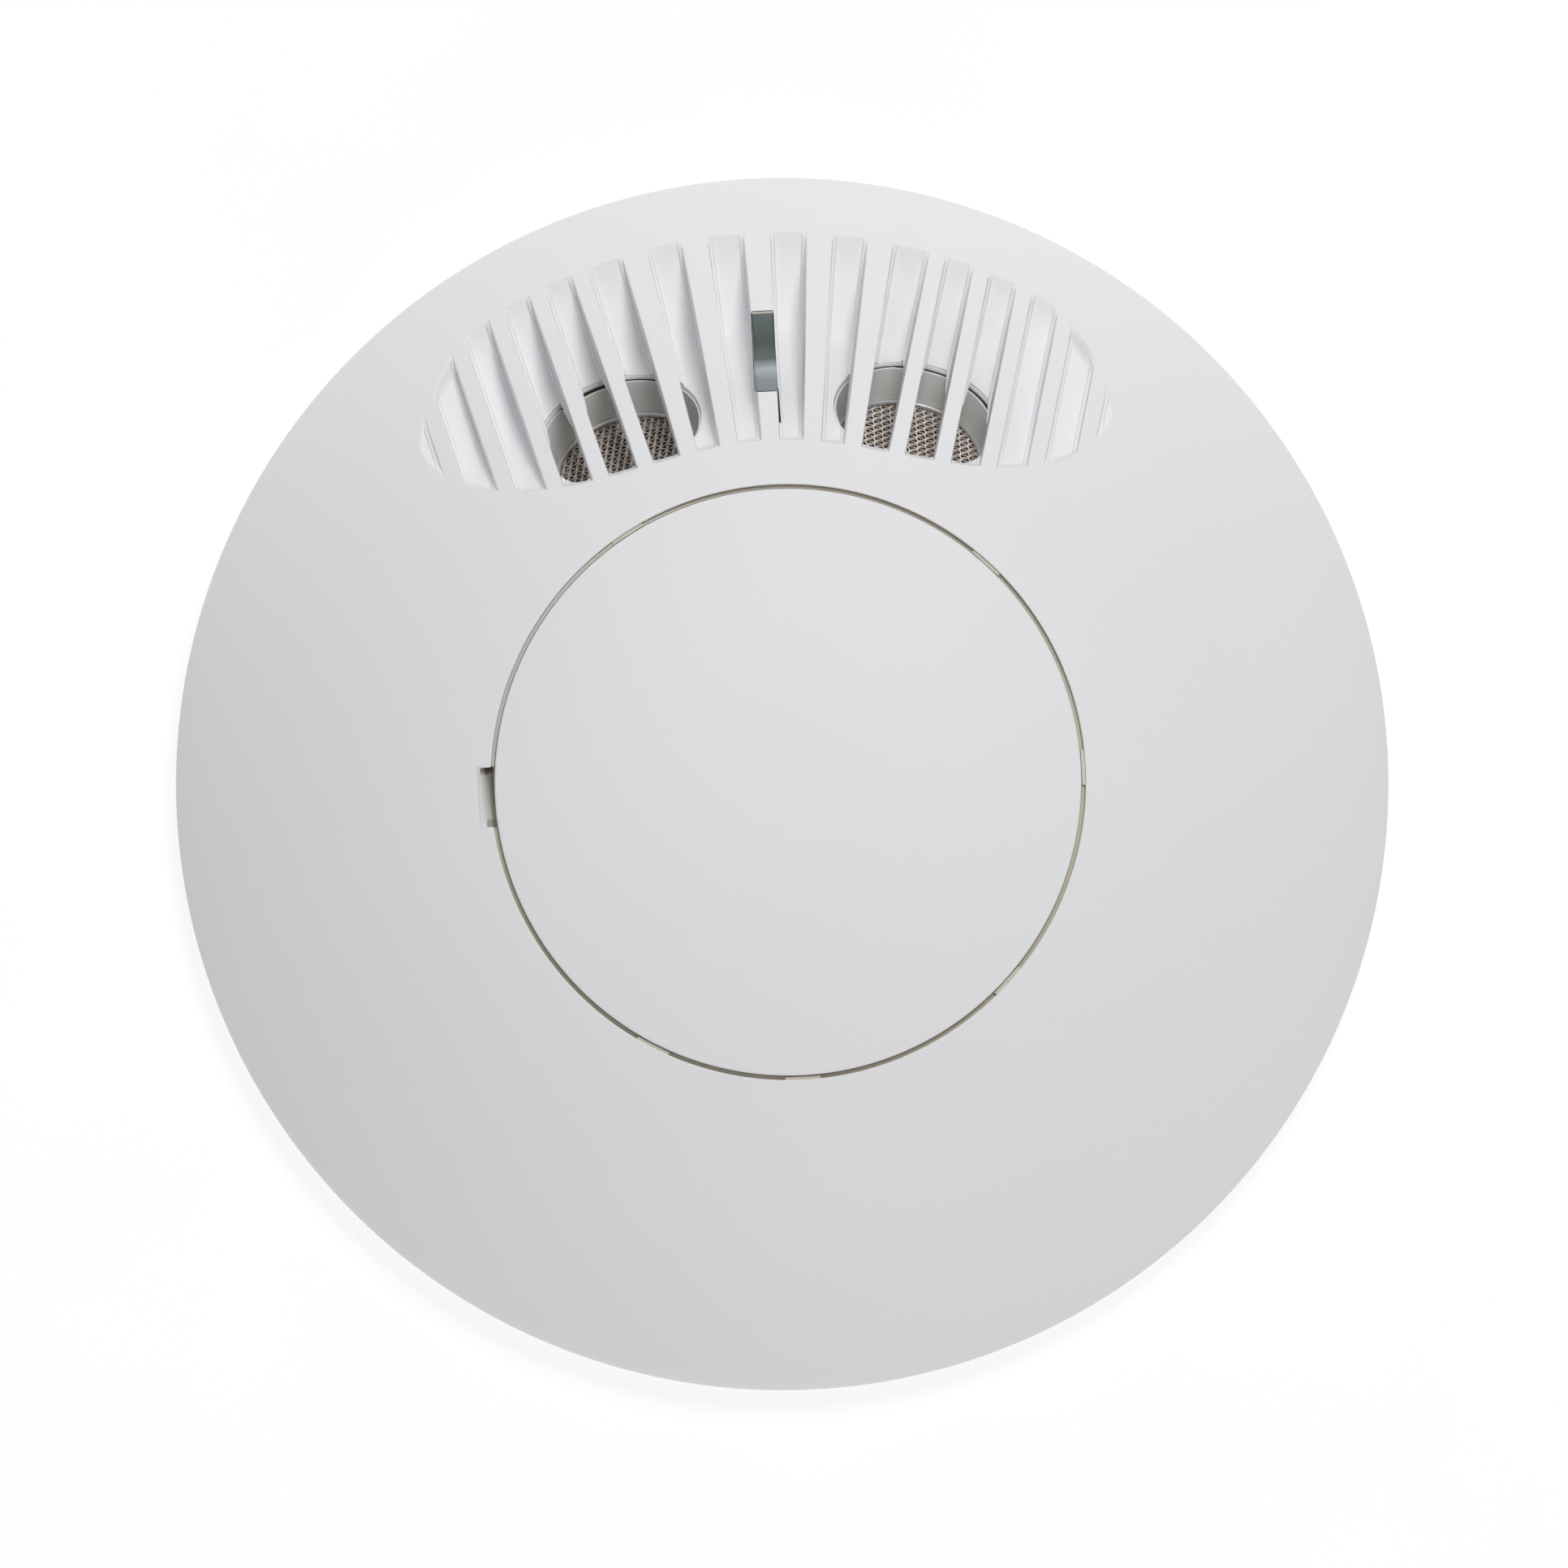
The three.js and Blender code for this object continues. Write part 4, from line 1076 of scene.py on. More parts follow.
# Painted light along the pipe: a painted highlight band a quarter of the way up from its lower
# end, and painted shade darkest above the middle.
pipe_painted_light = smoked.node(
    "ShaderNodeValToRGB",
    {
        "stops": [
            (0.0, (0.20, 0.22, 0.235)), (0.14, (0.24, 0.27, 0.285)), (0.27, (0.41, 0.445, 0.47)),
            (0.40, (0.085, 0.11, 0.108)), (0.62, (0.028, 0.05, 0.044)),
            (0.86, (0.06, 0.083, 0.083)), (1.0, (0.10, 0.12, 0.12)),
        ]
    },
    {0: share + wander},
)
cut_end = smoked.y.between(pipe_high.y - 0.26, pipe_high.y - 0.16)
smoked_acrylic = smoked.coat(
    Base_Color=smoked.blend(cut_end, pipe_painted_light, (0.58, 0.52, 0.47)),
    Roughness=0.16 + smoked.grain(3, 2) * 0.08,
    Normal=smoked.relief(smoked.grain(1.5, 2), 0.01, 0.25),
)
fit(pipe, "smoked_lens", smoked_acrylic, "light_pipe", crease=50)

lamp_low, lamp_high = corners("indicator_lamp")
lamp = block("board_lamp", lamp_low, lamp_high - Vector((0, 0, 0.7)), 0.2)
lens_r = 1.05
lens_foot = lamp_high.z - 0.5
bulge = [(0, lamp_low.z), (lens_r, lamp_low.z), (lens_r, lens_foot)]
for t in np.radians([22, 45, 68]):
    bulge.append((lens_r * math.cos(t), lens_foot + 0.5 * math.sin(t)))
at = middle("indicator_lamp")
join(lamp, put(turned("lamp_lens", bulge + [(0, lamp_high.z)], 32), at.x, at.y))
resin_dark, resin_light = (0.62, 0.75, 0.66), (0.70, 0.82, 0.73)
clear_resin = plastic("lamp_resin", resin_dark, resin_light, 0.2, 3.0, 0.004, Coat_Weight=0.4)
fit(lamp, "lamp_resin", clear_resin, "indicator_lamp", crease=40)

# ---- Mounting base ----
# A flat ABS ring that is screwed to the ceiling box through its four slots. The head is pushed on
# over its three hooks and turned fifteen degrees to lock.
BASE_T = 2.2
HOOK_R0, HOOK_R1 = 36.7, 39.3
HOOK_TOP = 6.2
HOOK_HEAD_T = 1.6
HOOK_ANGLES = (90, 210, 330)


def arc_block(name, r0, r1, start, end, z0, z1):
    """A piece of a ring between two angles in degrees."""
    turns = np.radians(np.linspace(start, end, max(3, int((end - start) / 1.5) + 1)))
    outline = [(r1 * math.cos(t), r1 * math.sin(t)) for t in turns]
    outline += [(r0 * math.cos(t), r0 * math.sin(t)) for t in turns[::-1]]
    return prism(name, outline, z0, z1)


ring_outline = eased(
    [
        (24, 0, 0.3), (52.5, 0, 0.5), (52.5, BASE_T, 0.4), (50.8, BASE_T, 0.2),
        (50.4, BASE_T - 0.4, 0.2), (40.9, BASE_T - 0.4, 0.2), (40.5, BASE_T, 0.2),
        (35.5, BASE_T, 0.2), (35.1, BASE_T - 0.4, 0.2), (26.2, BASE_T - 0.4, 0.2),
        (25.8, BASE_T, 0.2), (24, BASE_T, 0.3),
    ],
    3,
)
plain_white = plastic("smooth_white_abs", (0.80, 0.80, 0.81), (0.85, 0.85, 0.86), 0.42, 7.0, 0.008)
base = turned("ceiling_base", ring_outline, 128)
hooks = []
for angle in HOOK_ANGLES:
    post = arc_block("hook", HOOK_R0, HOOK_R1, angle - 3, angle + 3, 1, HOOK_TOP)
    under = HOOK_TOP - HOOK_HEAD_T
    head = arc_block("head", HOOK_R0, HOOK_R1, angle - 2.9, angle + 11, under, HOOK_TOP)
    hooks.append(soften(join(post, head), 0.22))
    stop_r = (HOOK_R0 + 0.7, HOOK_R1 - 0.7)
    join(hooks[-1], arc_block("stop", *stop_r, angle + 8, angle + 9, under - 0.12, HOOK_TOP - 1))
join(base, gather("hooks", hooks))
# Two pairs of slots, for the screws of round and of octagonal ceiling boxes.
for spacing in (60.3, 88.9):
    for side in (-1, 1):
        x = side * spacing / 2
        through = bar("slot", (x, 0), (2.1, 3.5), -1, 4, 2.0)
        sink = bar("sink", (x, 0), (3.2, 4.6), BASE_T - 0.9, 4, 3.1)
        cut(base, through, sink)
fit(base, "white_plastic", plain_white, "mounting_base", body="base")

# ---- Rear cover ----
# An ABS disc that closes the back of the dome. The hooks come through its curved slots and the
# building's wires through the square opening to the terminal block.
rear_low, rear_high = corners("rear_cover")
REAR_R = rear_high.x


def stiffening_rib(outer_r, inner_r, height=0.8, corner=0.2):
    foot, top = rear_high.z, rear_high.z + height
    sides = ((outer_r, foot), (outer_r, top), (inner_r, top), (inner_r, foot))
    return [(r, z, corner) for r, z in sides]


rear_outline = eased(
    [
        (0, rear_low.z), (REAR_R, rear_low.z, 0.4), (REAR_R, rear_high.z, 0.3),
        *stiffening_rib(52.2, 51.2), *stiffening_rib(30.6, 29.6), (0, rear_high.z),
    ],
    3,
)
rear = turned("back_plate", rear_outline, 128)
for angle in HOOK_ANGLES:
    cut(rear, arc_block("slot", HOOK_R0 - 0.5, HOOK_R1 + 0.5, angle - 19, angle + 4, 0, 9))
cut(rear, block("lead_opening", (-17, -14, 0), (17, 12, 9), 1.5))
z = rear_low.z
sink_side = [(0, z - 1), (2.9, z - 1), (2.9, z), (1.5, z + 1.4), (1.5, z + 4), (0, z + 4)]
screw_sinks = []
for n in (1, 2, 3):
    at = middle(f"housing_screw_{n}")
    screw_sinks.append(put(turned("sink", sink_side, 40), at.x, at.y))
cut(rear, gather("sinks", screw_sinks))
fit(rear, "white_plastic", plain_white, "rear_cover")

# ---- Housing and board screws ----
# Zinc-plated thread-forming screws: three countersunk ones from the back into the dome's bosses,
# and two with pan heads that hold the main board.
zinc = metal("zinc_plate", (0.50, 0.51, 0.53), (0.66, 0.66, 0.66), 0.28, (1, 1, 1), 6)
THREAD_PITCH = 0.9
THREAD_DEPTH = 0.22


def thread(name, head, shank_r, foot, tip):
    """A screw standing point up: its head's outline, then a thread that runs into the point."""
    around = 28
    rows = [(r, z, 0.0) for r, z in head]
    heights = np.arange(foot, tip - 0.9, THREAD_PITCH / 6)
    for z in heights:
        fade = min(1, (z - foot) / 0.6)
        rows.append((shank_r - THREAD_DEPTH, z, fade))
    for t in (0.35, 0.6, 0.8, 0.95):
        rows.append(((shank_r - THREAD_DEPTH) * (1 - t**1.5), tip - 0.9 + 0.9 * t, (1 - t) * 0.8))
    points = [(0, 0, rows[0][1])]
    for r, z, fade in rows:
        for k in range(around):
            phase = (z / THREAD_PITCH - k / around) % 1
            crest = max(0, 1 - abs(phase - 0.5) * 4) * THREAD_DEPTH * fade
            turn_by = 2 * math.pi * k / around
            points.append(((r + crest) * math.cos(turn_by), (r + crest) * math.sin(turn_by), z))
    points.append((0, 0, tip))
    pairs = [(k, (k + 1) % around) for k in range(around)]
    faces = [(0, 1 + k, 1 + n) for k, n in pairs]
    for i in range(len(rows) - 1):
        a, b = 1 + i * around, 1 + (i + 1) * around
        faces += [(a + k, a + n, b + n, b + k) for k, n in pairs]
    last = 1 + (len(rows) - 1) * around
    faces += [(last + k, last + n, len(points) - 1) for k, n in pairs]
    return solid(name, points, faces)


def cross_recess(z, depth, reach):
    """The tapering cross of a driver's tip, cut in from below."""
    foot, half_t = reach * 0.45, reach * 0.2
    outline = [(-reach, z - 1), (reach, z - 1), (reach, z)]
    outline += [(foot, z + depth), (-foot, z + depth), (-reach, z)]
    arms = [spin(upright(prism("arm", outline, -half_t, half_t)), turn_by) for turn_by in (0, 90)]
    return join(*arms)


def screw(name, node, head, shank_r, foot, recess):
    """A whole screw in its place; head and foot are measured from the head's outer end."""
    (low, high), at = corners(node), middle(node)
    made = thread(name, [(r, low.z + z) for r, z in head], shank_r, low.z + foot, high.z)
    cut(made, cross_recess(low.z, *recess))
    fit(put(made, at.x, at.y), "steel", zinc, node)


COUNTERSUNK_HEAD = [(2.3, 0), (2.5, 0.08), (2.5, 0.2), (1.0, 1.4)]
PAN_HEAD = [(1.1, 0), (1.7, 0.15), (2.05, 0.45), (2.2, 0.9), (2.2, 1.55), (1.0, 1.6)]
for n in (1, 2, 3):
    screw(f"countersunk_screw_{n}", f"housing_screw_{n}", COUNTERSUNK_HEAD, 1.2, 1.6, (1.3, 1.5))
for n in (1, 2):
    screw(f"pan_head_screw_{n}", f"board_screw_{n}", PAN_HEAD, 1.0, 1.7, (1.0, 1.2))

# ---- Boards and header ----
# Two glass-epoxy boards under green solder resist: the main board across the dome, cut away for
# the transducers, and the round control board on a strip header above it.
board = Finish("green_solder_resist")
TRACK_PITCH = 1.27
TRACK_W = 0.4
cells = board.node(
    "ShaderNodeTexVoronoi",
    {"distance": "CHEBYCHEV"},
    {"Vector": board.at, "Scale": 0.11, "Randomness": 0.6},
    "Color",
)


def stripes(coordinate, width):
    """Tracks at the track pitch along one coordinate."""
    off_track = coordinate.maths("PINGPONG", coordinate, TRACK_PITCH / 2)
    return 1 - off_track.between(width / 2, width / 2 + 0.04)


crosswise = cells.between(0.48, 0.5)
poured = cells.between(0.62, 0.63)
tracks = stripes(board.x, TRACK_W) * crosswise + stripes(board.y, TRACK_W) * (1 - crosswise)
copper_under = tracks.most(poured)
cloth = board.grain(7, 2)
over_cloth = board.blend(cloth, (0.010, 0.075, 0.030), (0.014, 0.095, 0.040))
green_resist = board.coat(
    Base_Color=board.blend(copper_under, (0.035, 0.16, 0.065), over_cloth),
    Roughness=0.3 + cloth * 0.15,
    Normal=board.relief(copper_under * 0.7 + cloth * 0.3, 0.03, 0.4),
)
board_low, board_high = corners("main_board")
CUT_Y = 18
BOARD_R = -board_low.y
TONGUE_HALF = 3.4
past_half = math.degrees(math.asin(CUT_Y / BOARD_R))
main_turns = np.radians(np.linspace(180 - past_half, 360 + past_half, 90))
main_outline = [(BOARD_R * math.cos(t), BOARD_R * math.sin(t)) for t in main_turns]
main_outline += [(TONGUE_HALF, CUT_Y), (TONGUE_HALF, board_high.y)]
main_outline += [(-TONGUE_HALF, board_high.y), (-TONGUE_HALF, CUT_Y)]
main_board = prism("main_circuit_board", main_outline, board_low.z, board_high.z)
board_cuts = []
holes = [(f"housing_screw_{n}", 4.0) for n in (1, 2, 3)]
holes += [(f"board_screw_{n}", 1.4) for n in (1, 2)]
for node, r in holes:
    at = middle(node)
    hole = rod("hole", r, 5, 14)
    board_cuts.append(put(hole, at.x, at.y))
cut(main_board, gather("board_cuts", board_cuts))


def solder_joints(spots, z, up):
    """Small tinned cones where legs come through a board."""
    joints = []
    for x, y in spots:
        side = [(0, 0), (0.85, 0), (0.55, 0.25), (0.32, 0.62), (0.15, 0.8), (0, 0.82)]
        joint = turned("joint", [(r, z + h * up) for r, h in side], 12)
        joints.append(put(joint, x, y))
    return gather("solder_joints", joints)


# Where legs come through the board, from the terminals round to the header.
leg_spots = [((i - 2) * 5.0, -8.0) for i in range(5)]
leg_spots += [(-34, -9), (-34, 4), (-25, -9), (-25, 4), (-25, -3)]
leg_spots += [(28, -12), (32, -12), (28.4, 1), (31.6, 1), (9.5, -34), (14.5, -34)]
leg_spots += [(-12.5, -30.5), (-10, -30.5), (-7.5, -30.5), (-11.8, -9), (-11.8, -4)]
leg_spots += [((i - 2.5) * 2.54, 13.5) for i in range(6)]
under = [spot for spot in leg_spots if not (abs(spot[0]) < 14 and -13 < spot[1] < -3)]
tin = metal("bright_tin", (0.60, 0.61, 0.62), (0.74, 0.74, 0.74), 0.22)
fit(main_board, "board_green", green_resist, "main_board")
fit(solder_joints(under, board_low.z + 0.02, -1), "steel", tin, crease=40)
control_low, control_high = corners("control_board")
r, z0, z1 = control_high.x, control_low.z, control_high.z
control_side = eased([(0, z0), (r, z0, 0.1), (r, z1, 0.1), (0, z1)])
control_board = turned("control_circuit_board", control_side, 96)
fit(control_board, "board_green", green_resist, "control_board")

black_moulding = plastic("black_moulding", (0.014, 0.014, 0.015), (0.026, 0.026, 0.028), 0.45, 5.0)
header_low, header_high = corners("board_header")
WAYS, WAY_PITCH = 6, 2.54
header_outline = []
mid_y = (header_low.y + header_high.y) / 2
for sign in (-1, 1):
    row = []
    for i in range(WAYS):
        x = (i - (WAYS - 1) / 2) * WAY_PITCH
        row += [(x - 1.0, mid_y + sign * 1.27), (x + 1.0, mid_y + sign * 1.27)]
        if i < WAYS - 1:
            row.append((x + 1.27, mid_y + sign * 1.0))
    header_outline += row if sign < 0 else row[::-1]
header = prism("strip_header", header_outline, header_low.z, header_high.z)
fit(soften(header, 0.08, 1), "black_plastic", black_moulding, "board_header")

# ---- Parts on the main board ----
# A sealed load relay, two electrolytic capacitors in printed sleeves, a drum choke, a regulator
# with its metal tab, a quad-flat microcontroller on gull-wing legs, and a pressed quartz can.
relay_low, relay_high = corners("load_relay")
relay = soften(block("sealed_relay", relay_low, relay_high, 0.6), 0.45, 3)
vent = rod("vent", 0.9, relay_high.z - 0.3, relay_high.z + 1, 24)
cut(relay, put(vent, relay_low.x + 2.6, relay_high.y - 2.6))
for x in (relay_low.x + 0.9, relay_high.x - 0.9):
    seam_low = (x - 0.1, relay_low.y - 1, relay_low.z - 1)
    cut(relay, block("seam", seam_low, (x + 0.1, relay_high.y + 1, relay_low.z + 0.6)))
blue_moulding = plastic("blue_moulding", (0.020, 0.085, 0.33), (0.028, 0.11, 0.40), 0.35, 5.0)
fit(relay, "relay_blue", blue_moulding, "load_relay")

for node, name in (
    ("reservoir_capacitor", "large_electrolytic"), ("filter_capacitor", "small_electrolytic"),
):
    low, high = corners(node)
    at = (low + high) / 2
    r, top = (high.x - low.x) / 2, high.z
    side = eased(
        [
            (0, low.z), (r - 0.4, low.z, 0.1), (r - 0.1, low.z + 0.3, 0.2),
            (r - 0.1, low.z + 1.2, 0.2), (r - 0.45, low.z + 1.5, 0.2), (r - 0.1, low.z + 1.8, 0.2),
            (r, low.z + 2.3), (r, top - 0.35, 0.3), (r - 0.8, top, 0.1), (r - 0.9, top - 0.12),
            (0, top - 0.12),
        ],
        3,
    )
    can = turned(name, side, 48)
    score_foot = top - 0.22
    for half in ((r * 0.6, 0.08), (0.08, r * 0.6)):
        cut(can, bar("score", (0, 0), half, score_foot, top + 1))
    put(can, at.x, at.y)
    printed = Finish(f"{name}_sleeve")
    x, y = printed.x - at.x, printed.y - at.y
    out = (x * x + y * y).root()
    end = printed.z.between(top - 0.3, top - 0.25) * (1 - out.between(r - 0.95, r - 0.85))
    stripe = (x * -1).between(r * 0.72, r * 0.74) * (1 - end)
    sleeve = printed.blend(printed.grain(0.8), (0.012, 0.014, 0.022), (0.02, 0.022, 0.032))
    striped = printed.blend(stripe, sleeve, (0.45, 0.46, 0.48))
    sleeve_paint = printed.coat(
        Base_Color=printed.blend(end, striped, (0.62, 0.62, 0.63)),
        Metallic=end,
        Roughness=0.3 + printed.grain(5) * 0.12,
    )
    fit(can, "black_plastic", sleeve_paint, node)

choke_low, choke_high = corners("choke")
choke_at = (choke_low + choke_high) / 2
z0, z1 = choke_low.z, choke_high.z
waist = [(4.3 + 0.12 * (i % 2), z1 - 1.3 - (z1 - z0 - 2.6) * i / 12) for i in range(13)]
choke_side = [(0, z0), (4.8, z0), (5, z0 + 0.2), (5, z0 + 1.0), (4.8, z0 + 1.2), *reversed(waist)]
choke_side += [(4.8, z1 - 1.2), (5, z1 - 1.0), (5, z1 - 0.2), (4.8, z1)]
choke_side += [(1.2, z1), (1.0, z1 - 0.3), (0, z1 - 0.3)]
choke = put(turned("drum_choke", choke_side, 48), choke_at.x, choke_at.y)
ferrite = Finish("ferrite_and_wire")
wound = ferrite.z.band(z0 + 1.15, z0 + 1.25, z1 - 1.25, z1 - 1.15)
bare_ferrite = ferrite.blend(ferrite.grain(3), (0.018, 0.018, 0.02), (0.035, 0.035, 0.037))
ferrite_paint = ferrite.coat(
    Base_Color=ferrite.blend(wound, bare_ferrite, (0.42, 0.14, 0.05)),
    Metallic=wound * 0.8,
    Roughness=0.55 - wound * 0.25,
    Normal=ferrite.relief(ferrite.grain(8), 0.01, 0.4),
)
fit(choke, "black_plastic", ferrite_paint, "choke")

reg_low, reg_high = corners("voltage_regulator")
TAB_T = 1.2
BODY_Y = reg_low.y + 5.2
tab_low, tab_high = reg_low + Vector((0, 0.2, 0)), (reg_high.x, reg_high.y, reg_low.z + TAB_T)
tab = soften(block("tab", tab_low, tab_high, 0.4), 0.1, 1)
tab_hole = rod("tab_hole", 1.2, reg_low.z - 1, reg_low.z + 3, 32)
cut(tab, put(tab_hole, (reg_low.x + reg_high.x) / 2, reg_high.y - 1.45))
body_low = (reg_low.x + 0.1, reg_low.y, reg_low.z + 0.3)
body = block("body", body_low, (reg_high.x - 0.1, BODY_Y, reg_high.z), 0.2)
soften(body, 0.35, 2)
dimple = rod("dimple", 0.7, reg_high.z - 0.15, reg_high.z + 1, 24, 0.8)
cut(body, put(dimple, reg_low.x + 2, reg_low.y + 2.6))
regulator = join(tab, body)
regulator.name = "tabbed_regulator"
power = Finish("regulator_package")
above_tab = power.z.between(reg_low.z + 0.28, reg_low.z + 0.32)
tab_mask = power.y.between(BODY_Y + 0.01, BODY_Y + 0.05).most(1 - above_tab)
package = power.blend(power.grain(4), (0.014, 0.014, 0.015), (0.024, 0.024, 0.026))
power_paint = power.coat(
    Base_Color=power.blend(tab_mask, package, (0.60, 0.60, 0.61)),
    Metallic=tab_mask,
    Roughness=0.42 + power.grain(6) * 0.1,
)
fit(regulator, "black_plastic", power_paint, "voltage_regulator")

chip_low, chip_high = corners("microcontroller")
chip_at = (chip_low + chip_high) / 2
CHIP_HALF = 4.1
LEG_PITCH = 0.8
chip = soften(
    block(
        "quad_flat_chip",
        (chip_at.x - CHIP_HALF, chip_at.y - CHIP_HALF, chip_low.z + 0.15),
        (chip_at.x + CHIP_HALF, chip_at.y + CHIP_HALF, chip_high.z),
        0.3,
    ),
    0.18,
    1,
)
spot = rod("spot", 0.45, chip_high.z - 0.08, chip_high.z + 1, 24, 0.5)
cut(chip, put(spot, chip_at.x - 3, chip_at.y + 3))
reach = chip_high.x - chip_at.x
leg_side = [(CHIP_HALF - 0.2, 0.85), (CHIP_HALF + 0.2, 0.85), (CHIP_HALF + 0.4, 0.15)]
leg_side += [(reach, 0.15), (reach, 0.0), (CHIP_HALF + 0.28, 0.0)]
leg_side += [(CHIP_HALF + 0.08, 0.7), (CHIP_HALF - 0.2, 0.7)]
legs = []
for turn_by in (0, 90, 180, 270):
    for i in range(9):
        leg = upright(prism("leg", leg_side, -0.15, 0.15))
        legs.append(spin(put(leg, 0, (i - 4) * LEG_PITCH, chip_low.z), turn_by))
leg_set = put(gather("legs", legs), chip_at.x, chip_at.y)
join(chip, leg_set)
quad = Finish("chip_package")
off_middle = (quad.x - chip_at.x).size().most((quad.y - chip_at.y).size())
legs_mask = off_middle.between(CHIP_HALF + 0.01, CHIP_HALF + 0.03)
epoxy = quad.blend(quad.grain(3), (0.014, 0.014, 0.015), (0.022, 0.022, 0.024))
quad_paint = quad.coat(
    Base_Color=quad.blend(legs_mask, epoxy, (0.70, 0.70, 0.71)),
    Metallic=legs_mask,
    Roughness=0.5 - legs_mask * 0.2 + quad.grain(6) * 0.08,
)
fit(chip, "black_plastic", quad_paint, "microcontroller")

quartz_low, quartz_high = corners("crystal")
half_w = (quartz_high.x - quartz_low.x) / 2
flange_high = (quartz_high.x, quartz_high.y, quartz_low.z + 0.5)
flange = block("pressed_quartz_can", quartz_low, flange_high, half_w * 0.98)
can_low = (quartz_low.x + 0.4, quartz_low.y + 0.4, quartz_low.z + 0.2)
can_high = (quartz_high.x - 0.4, quartz_high.y - 0.4, quartz_high.z)
can = block("can", can_low, can_high, (half_w - 0.4) * 0.98)
quartz = join(soften(flange, 0.12, 1), soften(can, 0.35, 3))
fit(quartz, "steel", tin, "crystal")

# ---- Terminal block ----
# A green polyamide block on the back of the main board. Wires enter its long side, and five
# slotted screws under the back clamp them.
term_low, term_high = corners("terminal_block")
terminal = soften(block("wiring_terminals", term_low, term_high, 0.4), 0.3, 2)
TERMINAL_PITCH = 5.0
term_mid_y = (term_low.y + term_high.y) / 2
well_side = [(0, -1), (2.1, -1), (2.1, term_low.z + 0.02), (1.9, term_low.z + 0.25)]
well_side += [(1.9, 3.0), (0, 3.0)]
term_cuts = []
for i in range(5):
    x = (i - 2) * TERMINAL_PITCH
    hole_low = (x - 1.5, term_high.y - 3, 3.6)
    term_cuts.append(block("wire_hole", hole_low, (x + 1.5, term_high.y + 1, 6.6)))
    term_cuts.append(put(turned("well", well_side, 40), x, term_mid_y))
for i in range(4):
    x = (i - 1.5) * TERMINAL_PITCH
    score_low = (x - 0.2, term_low.y - 1, term_low.z - 1)
    term_cuts.append(block("score", score_low, (x + 0.2, term_high.y + 1, term_low.z + 0.35)))
cut(terminal, gather("terminal_cuts", term_cuts))
green_polyamide = plastic("green_polyamide", (0.045, 0.23, 0.075), (0.06, 0.29, 0.10), 0.5, 4.0)
fit(terminal, "terminal_green", green_polyamide, "terminal_block")
for n in range(1, 6):
    node = f"terminal_screw_{n}"
    low, high = corners(node)
    at, z0, z1 = (low + high) / 2, low.z, high.z
    side = [(0, z0), (1.6, z0, 0.25), (1.6, z0 + 0.9, 0.1), (1.35, z0 + 1.0), (1.35, z1), (0, z1)]
    clamp = turned(f"clamp_screw_{n}", eased(side), 40)
    cut(clamp, bar("driver_slot", (0, 0), (3, 0.3), z0 - 1, z0 + 0.55))
    fit(put(clamp, at.x, at.y), "steel", zinc, node)

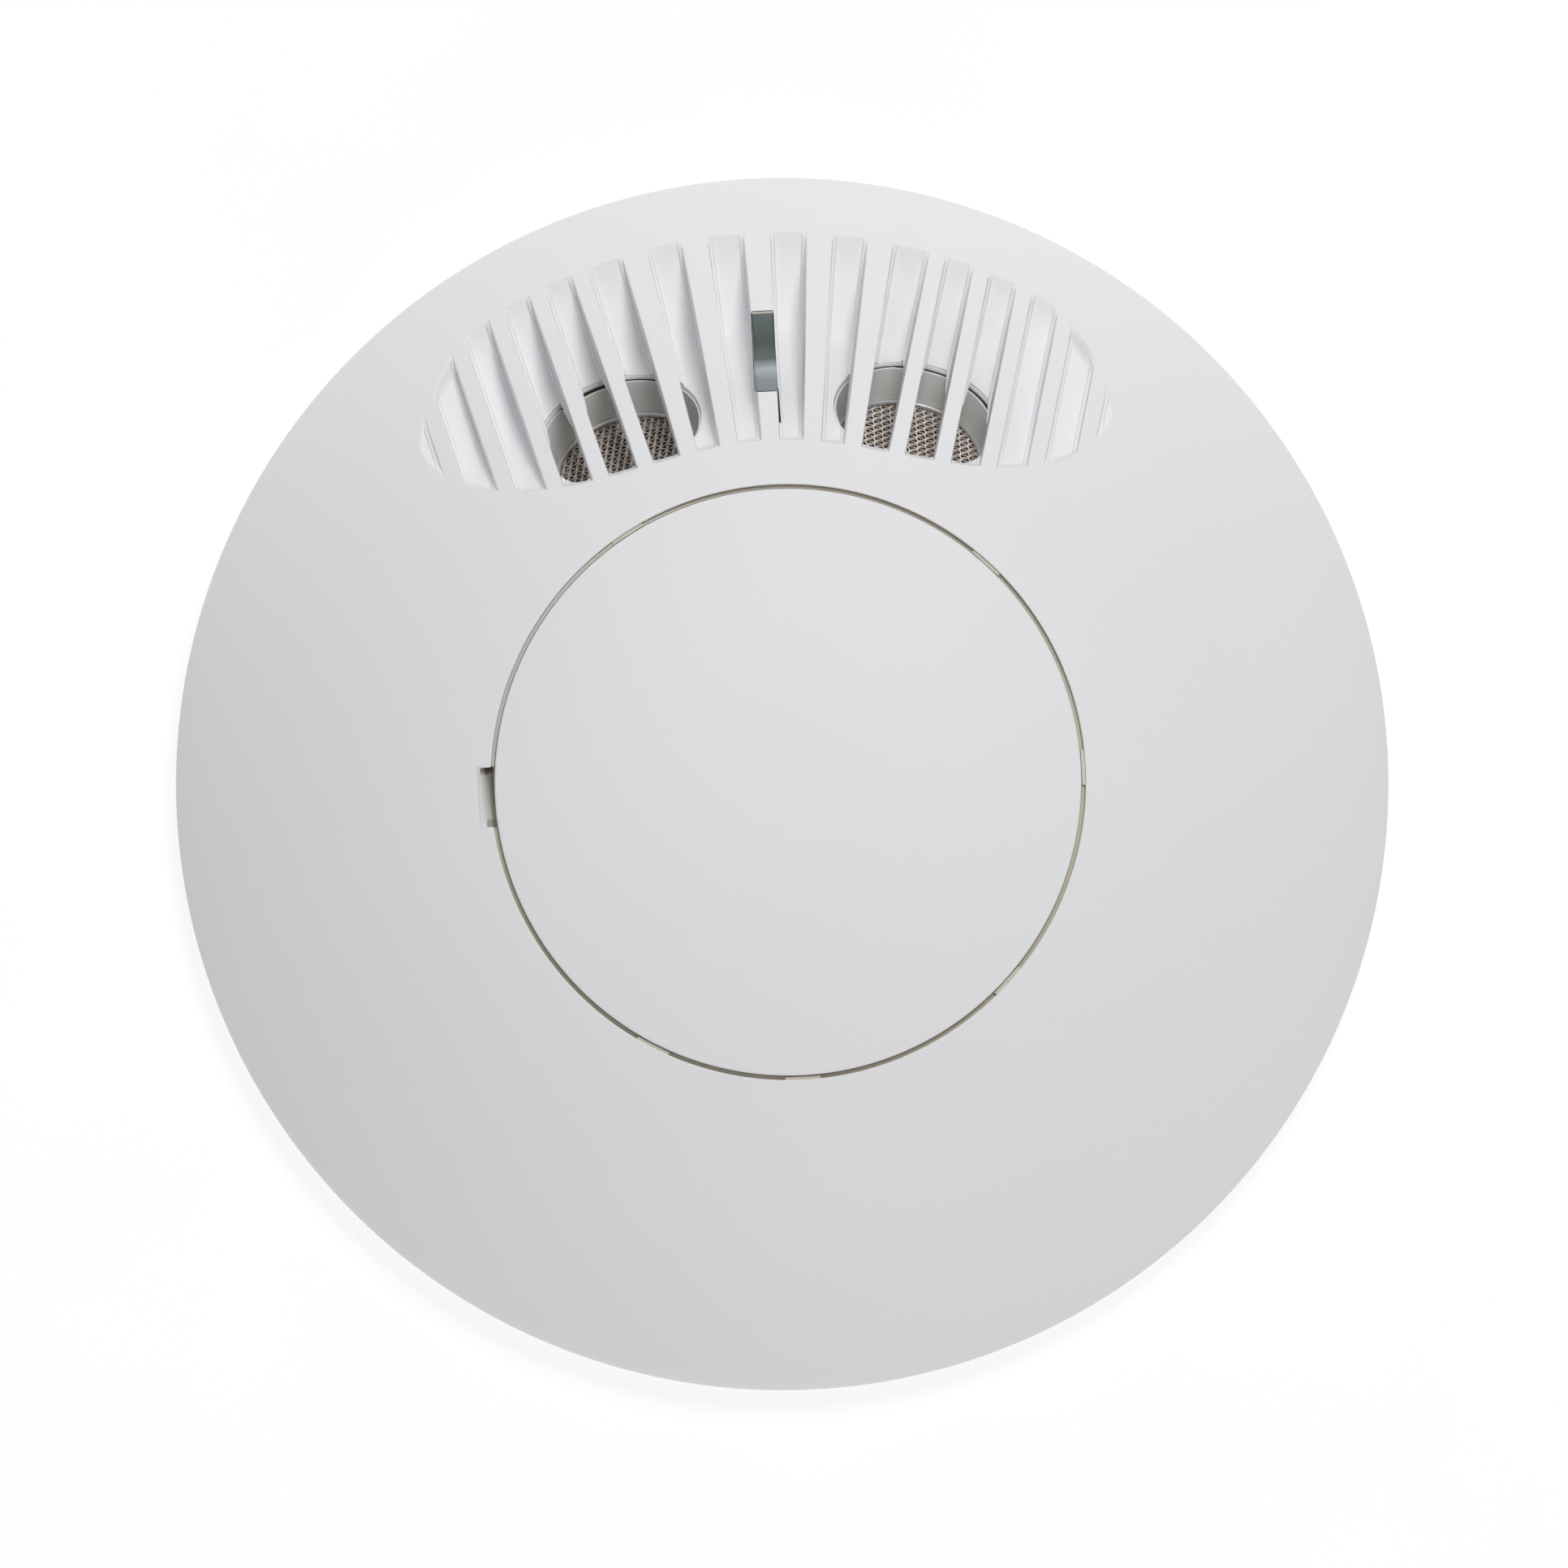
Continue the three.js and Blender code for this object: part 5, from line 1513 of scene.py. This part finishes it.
# ---- Adjustments ----
# Two single-turn trimmers, for sensitivity and time delay, each turned by a slotted white dial,
# and a bank of eight slide switches. They are set with a small screwdriver through the deck.
white_dial = plastic("white_acetal", (0.78, 0.78, 0.775), (0.84, 0.84, 0.835), 0.38, 6.0)
FLUTES = 30
FLUTE_DEPTH = 0.16
for name in ("sensitivity", "time_delay"):
    low, high = corners(f"{name}_trimmer")
    at = (low + high) / 2
    trimmer = block(f"{name}_potentiometer", low, (high.x, high.y, high.z - 0.6), 0.3)
    collar = [(0, high.z - 0.8), (2.9, high.z - 0.8), (2.9, high.z, 0.2), (0, high.z)]
    join(soften(trimmer, 0.2, 2), put(turned("collar", eased(collar), 48), at.x, at.y))
    fit(trimmer, "relay_blue", blue_moulding, f"{name}_trimmer")

    low, high = corners(f"{name}_dial")
    at, r = (low + high) / 2, (high.x - low.x) / 2
    outline = []
    for turn_by in np.arange(FLUTES * 4) * 2 * math.pi / (FLUTES * 4):
        dip_r = r - FLUTE_DEPTH * (0.5 - 0.5 * math.cos(turn_by * FLUTES))
        outline.append((dip_r * math.cos(turn_by), dip_r * math.sin(turn_by)))
    dial = prism(f"{name}_knob", outline, low.z, high.z - 0.45)
    crown = [(0, -0.6), (r - 0.22, -0.6), (r - 0.22, -0.35)]
    crown += [(r - 0.45, -0.1), (r - 0.7, 0), (0, 0)]
    join(dial, turned("crown", [(out, high.z + z) for out, z in crown], 96))
    cut(dial, bar("slot", (0, 0), (0.5, 2.6), high.z - 1, high.z + 1, 0.3))
    cut(dial, prism("arrow", [(-0.62, 2.75), (0.62, 2.75), (0, 3.35)], high.z - 0.2, high.z + 1))
    put(dial, at.x, at.y)
    fit(dial, "white_plastic", white_dial, f"{name}_dial", body=f"{name}_dial")

SWITCH_WAYS = 8
SWITCH_PITCH = 2.54
bank = soften(block("slide_switch_bank", bank_low, bank_high, 0.2), 0.2, 2)
bank_cuts = []
slider_mid_y = (bank_low.y + bank_high.y) / 2
for i in range(SWITCH_WAYS):
    x = (bank_low.x + bank_high.x) / 2 + (i - (SWITCH_WAYS - 1) / 2) * SWITCH_PITCH
    top, past = bank_high.z, bank_high.z + 1
    bank_cuts.append(bar("trough", (x, slider_mid_y), (0.7, 1.65), top - 1.6, past))
    bank_cuts.append(bar("mark", (x, slider_mid_y + 2.45), (0.12, 0.35), top - 0.1, past))
cut(bank, gather("bank_cuts", bank_cuts))
red_moulding = plastic("red_moulding", (0.40, 0.030, 0.022), (0.48, 0.042, 0.03), 0.4, 5.0)
fit(bank, "switch_red", red_moulding, "switch_bank")
for n in range(1, SWITCH_WAYS + 1):
    node = f"switch_slider_{n}"
    low, high = corners(node)
    slider = soften(block(f"slider_{n}", low, high, 0.08), 0.07, 1)
    grips = [
        block("grip", (low.x - 1, y - 0.09, high.z - 0.14), (high.x + 1, y + 0.09, high.z + 1))
        for y in np.linspace(low.y + 0.35, high.y - 0.35, 3)
    ]
    cut(slider, gather("grips", grips))
    fit(slider, "white_plastic", white_dial, node, body=node)

# ---- Closing ----
# The box of the finished model; the frame's box was taken before the build.
low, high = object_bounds()
